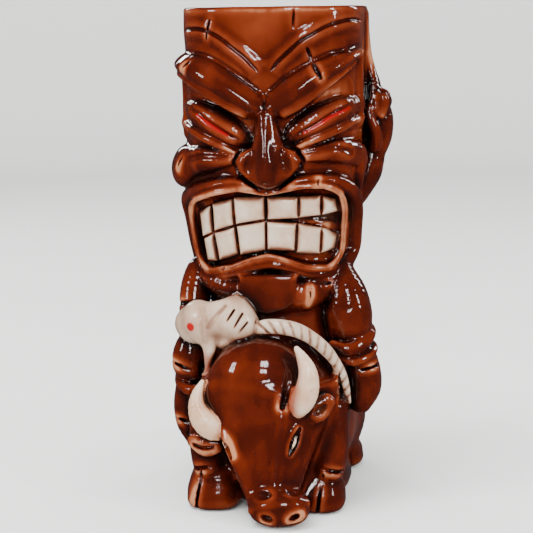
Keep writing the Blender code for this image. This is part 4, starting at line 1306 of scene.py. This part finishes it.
def cream_glaze(name, clear, warm, wash, shade_and_wash, painted_shade=0.9):
    """An off-white glaze, with a brown wash that has settled into its low places and painted shade in its
    creases and hollows.
    """
    nodes = Nodes(name)
    cloud = nodes.noise(0.11, 4.0)
    fleck = nodes.noise(0.6, 3.0)
    # The pool and hollow marks give both the brown wash in creases and painted shade there; cloud and fleck
    # are the glaze's own uneven tone.
    shade_wash_and_mottle = nodes.weigh(-0.30, (nodes.mark("pool"), shade_and_wash), (nodes.mark("hollow_shade"), 0.42 * shade_and_wash),
        (cloud, 0.90), (fleck, 0.16), (nodes.mark("edge"), -0.25))
    colour = nodes.ramp(shade_wash_and_mottle, ((0.0, clear), (0.30, warm), (0.66, wash), (1.0, DEEP_WASH_AND_SHADE)))
    colour = nodes.mix(nodes.math("MULTIPLY", nodes.mark("stain"), 0.85), colour, RUST)
    colour = nodes.mix(nodes.mark("red"), colour, RED_PAINT)
    # Painted shade in the cracks, clefts and holes marked for it, as strongly as this glaze allows.
    colour = nodes.mix(nodes.math("MULTIPLY", nodes.mark("painted_shade"), painted_shade), colour, SHADE_BLACK)
    nodes.bump(nodes.weigh(0.0, (nodes.noise(0.5, 2.0), 0.4), (nodes.noise(0.14, 2.0), 1.0)), 0.20, 0.5)
    return nodes.finish(colour, nodes.weigh(0.14, (cloud, 0.14)), Specular_IOR_Level=0.45, Coat_Weight=0.2,
                        Coat_Roughness=0.05)


CLEAR_TEETH, WARM_TEETH, WASHED_TEETH = (0.56, 0.47, 0.37), (0.46, 0.31, 0.21), (0.20, 0.075, 0.04)
CLEAR_CLOTH, WARM_CLOTH, WASHED_CLOTH = (0.50, 0.39, 0.31), (0.38, 0.25, 0.17), (0.19, 0.085, 0.05)
WASHED_HORN = (0.34, 0.13, 0.06)

brown = brown_glaze()
# The weight after the colours sets how much brown wash and painted shade each cream glaze takes in its
# creases and hollows.
teeth_glaze = cream_glaze("teeth glaze", CLEAR_TEETH, WARM_TEETH, WASHED_TEETH, shade_and_wash=1.35)
cloth_glaze = cream_glaze("glove and rope glaze", CLEAR_CLOTH, WARM_CLOTH, WASHED_CLOTH, shade_and_wash=0.95)
GLAZES = {
    "mug_glaze": brown,
    "brown_glaze": brown,
    "teeth_glaze": teeth_glaze,
    "glove_and_rope_glaze": cloth_glaze,
    "horn_glaze": cream_glaze("horn glaze", CREAM, WARM, WASHED_HORN, shade_and_wash=0.9),
    "bull_eye_glaze": cream_glaze("bull eye glaze", CREAM, WARM, WASH, shade_and_wash=0.3, painted_shade=0.0),
}

jobs = pieces_to_make()
with ThreadPoolExecutor(max_workers=4) as pool:
    forms = list(pool.map(lambda job: sculpted(job[1], *job[3:]), jobs))
for (name, _, node, *_), form in zip(jobs, forms):
    piece = make_piece(name, *form)
    piece.data.materials.append(GLAZES[slot_of(node)])
    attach(piece, "root")
    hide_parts(node)


# ---------------------------------------------------------------- floor, light and camera


def plain(name, colour, roughness):
    """A dull material of one colour."""
    nodes = Nodes(name)
    return nodes.finish(nodes.ramp(nodes.noise(0.02, 2.0), ((0.0, colour), (1.0, colour))), roughness)


def make_floor():
    """A pale round floor that curves up into a wall on every side."""
    radius, bend, top, turns = 1.7, 0.45, 2.4, 64
    profile = [(0.0, 0.0), (radius - bend, 0.0)]
    for step in range(1, 13):
        angle = math.pi / 2 * step / 12
        profile.append((radius - bend + bend * math.sin(angle), bend - bend * math.cos(angle)))
    profile.append((radius, top))
    points = [(0.0, 0.0, 0.0)]
    points += [(r * math.cos(math.tau * k / turns), r * math.sin(math.tau * k / turns), z)
               for r, z in profile[1:] for k in range(turns)]
    faces = [(0, 1 + k, 1 + (k + 1) % turns) for k in range(turns)]
    for ring in range(len(profile) - 2):
        low, high = 1 + ring * turns, 1 + (ring + 1) * turns
        faces += [(low + k, high + k, high + (k + 1) % turns, low + (k + 1) % turns) for k in range(turns)]
    mesh = bpy.data.meshes.new("sweep")
    mesh.from_pydata(points, [], faces)
    mesh.shade_smooth()
    mesh.materials.append(plain("pale floor", (0.88, 0.88, 0.87), 0.6))
    floor = bpy.data.objects.new("sweep", mesh)
    floor.visible_glossy = False
    bpy.context.scene.collection.objects.link(floor)


def aimed(location, target):
    """The turn that points an object's -Z axis from location to target."""
    return (Vector(target) - Vector(location)).to_track_quat("-Z", "Y").to_euler()


def softbox(name, location, size, watts, target=(0, 0, 0.09), mirrored=True):
    """An area light. Where mirrored is False the glaze doesn't reflect it, so it only fills in the shade."""
    light = bpy.data.lights.new(name, "AREA")
    light.shape = "RECTANGLE"
    light.size, light.size_y = size
    light.energy = watts
    thing = bpy.data.objects.new(name, light)
    thing.location = location
    thing.rotation_euler = aimed(location, target)
    thing.visible_glossy = mirrored
    bpy.context.scene.collection.objects.link(thing)


def window(name, centre, panes, pane, gap, watts, target=(0, 0, 0.11)):
    """A window of separate panes, so that the glaze reflects its bars."""
    middle, aim = Vector(centre), Vector(target)
    right = (aim - middle).cross(Vector(UP)).normalized()
    up = Vector(UP)
    for column in range(panes[0]):
        for row in range(panes[1]):
            across = (column - (panes[0] - 1) / 2) * (pane[0] + gap)
            above = (row - (panes[1] - 1) / 2) * (pane[1] + gap)
            softbox(f"{name}_{column}_{row}", middle + right * across + up * above, pane,
                    watts / (panes[0] * panes[1]), target=aim + right * across + up * above)


def light_scene():
    """Soft light that the glaze doesn't reflect, and windows and two tall boxes that it does."""
    world = bpy.data.worlds.new("studio")
    world.use_nodes = True
    world.node_tree.nodes["Background"].inputs["Color"].default_value = (0.93, 0.95, 1.0, 1)
    world.node_tree.nodes["Background"].inputs["Strength"].default_value = 0.07
    bpy.context.scene.world = world
    softbox("overhead", (-0.30, -0.45, 1.1), (0.7, 0.5), 14.0, mirrored=False)
    softbox("front_fill", (0.25, -1.3, 0.30), (0.7, 0.7), 7.0, mirrored=False)
    softbox("backdrop_wash", (0.0, -0.1, 1.7), (1.4, 0.8), 30.0, target=(0, 1.3, 0.2), mirrored=False)
    window("front_window", (0.12, -1.00, 0.74), (5, 2), (0.026, 0.15), 0.024, 5.0)
    window("low_window", (0.10, -1.15, 0.40), (4, 1), (0.020, 0.13), 0.026, 1.6)
    window("left_window", (-0.80, -0.62, 0.50), (3, 2), (0.035, 0.16), 0.03, 3.4)
    window("right_window", (0.92, -0.45, 0.48), (2, 2), (0.035, 0.16), 0.03, 3.6)
    softbox("back_left", (-0.55, 0.65, 0.55), (0.08, 0.4), 2.2)
    softbox("back_right", (0.60, 0.55, 0.50), (0.08, 0.4), 2.2)


def make_camera():
    """The photograph's viewing angle: slightly from the mug's left, with the lens level with the rim."""
    azimuth, roll, view_angle = math.radians(8.0), math.radians(-0.8), math.radians(18.6)
    distance, height, aim_aside, aim_height = 600.0, 174.0, -4.9, 82.3
    place = Vector((distance * math.sin(azimuth), -distance * math.cos(azimuth), height))
    aim = Vector((math.cos(azimuth) * aim_aside, math.sin(azimuth) * aim_aside, aim_height))
    ahead = (aim - place).normalized()
    right = ahead.cross(Vector(UP)).normalized()
    up = right.cross(ahead)
    right, up = right * math.cos(roll) + up * math.sin(roll), up * math.cos(roll) - right * math.sin(roll)
    data = bpy.data.cameras.new("camera")
    data.sensor_fit = "HORIZONTAL"
    data.angle = view_angle
    camera = bpy.data.objects.new("camera", data)
    turn = Matrix((right, up, -ahead)).transposed().to_4x4()
    camera.matrix_world = Matrix.Translation(place * MM) @ turn
    bpy.context.scene.collection.objects.link(camera)
    bpy.context.scene.camera = camera


make_floor()
light_scene()
make_camera()
bpy.context.view_layer.update()
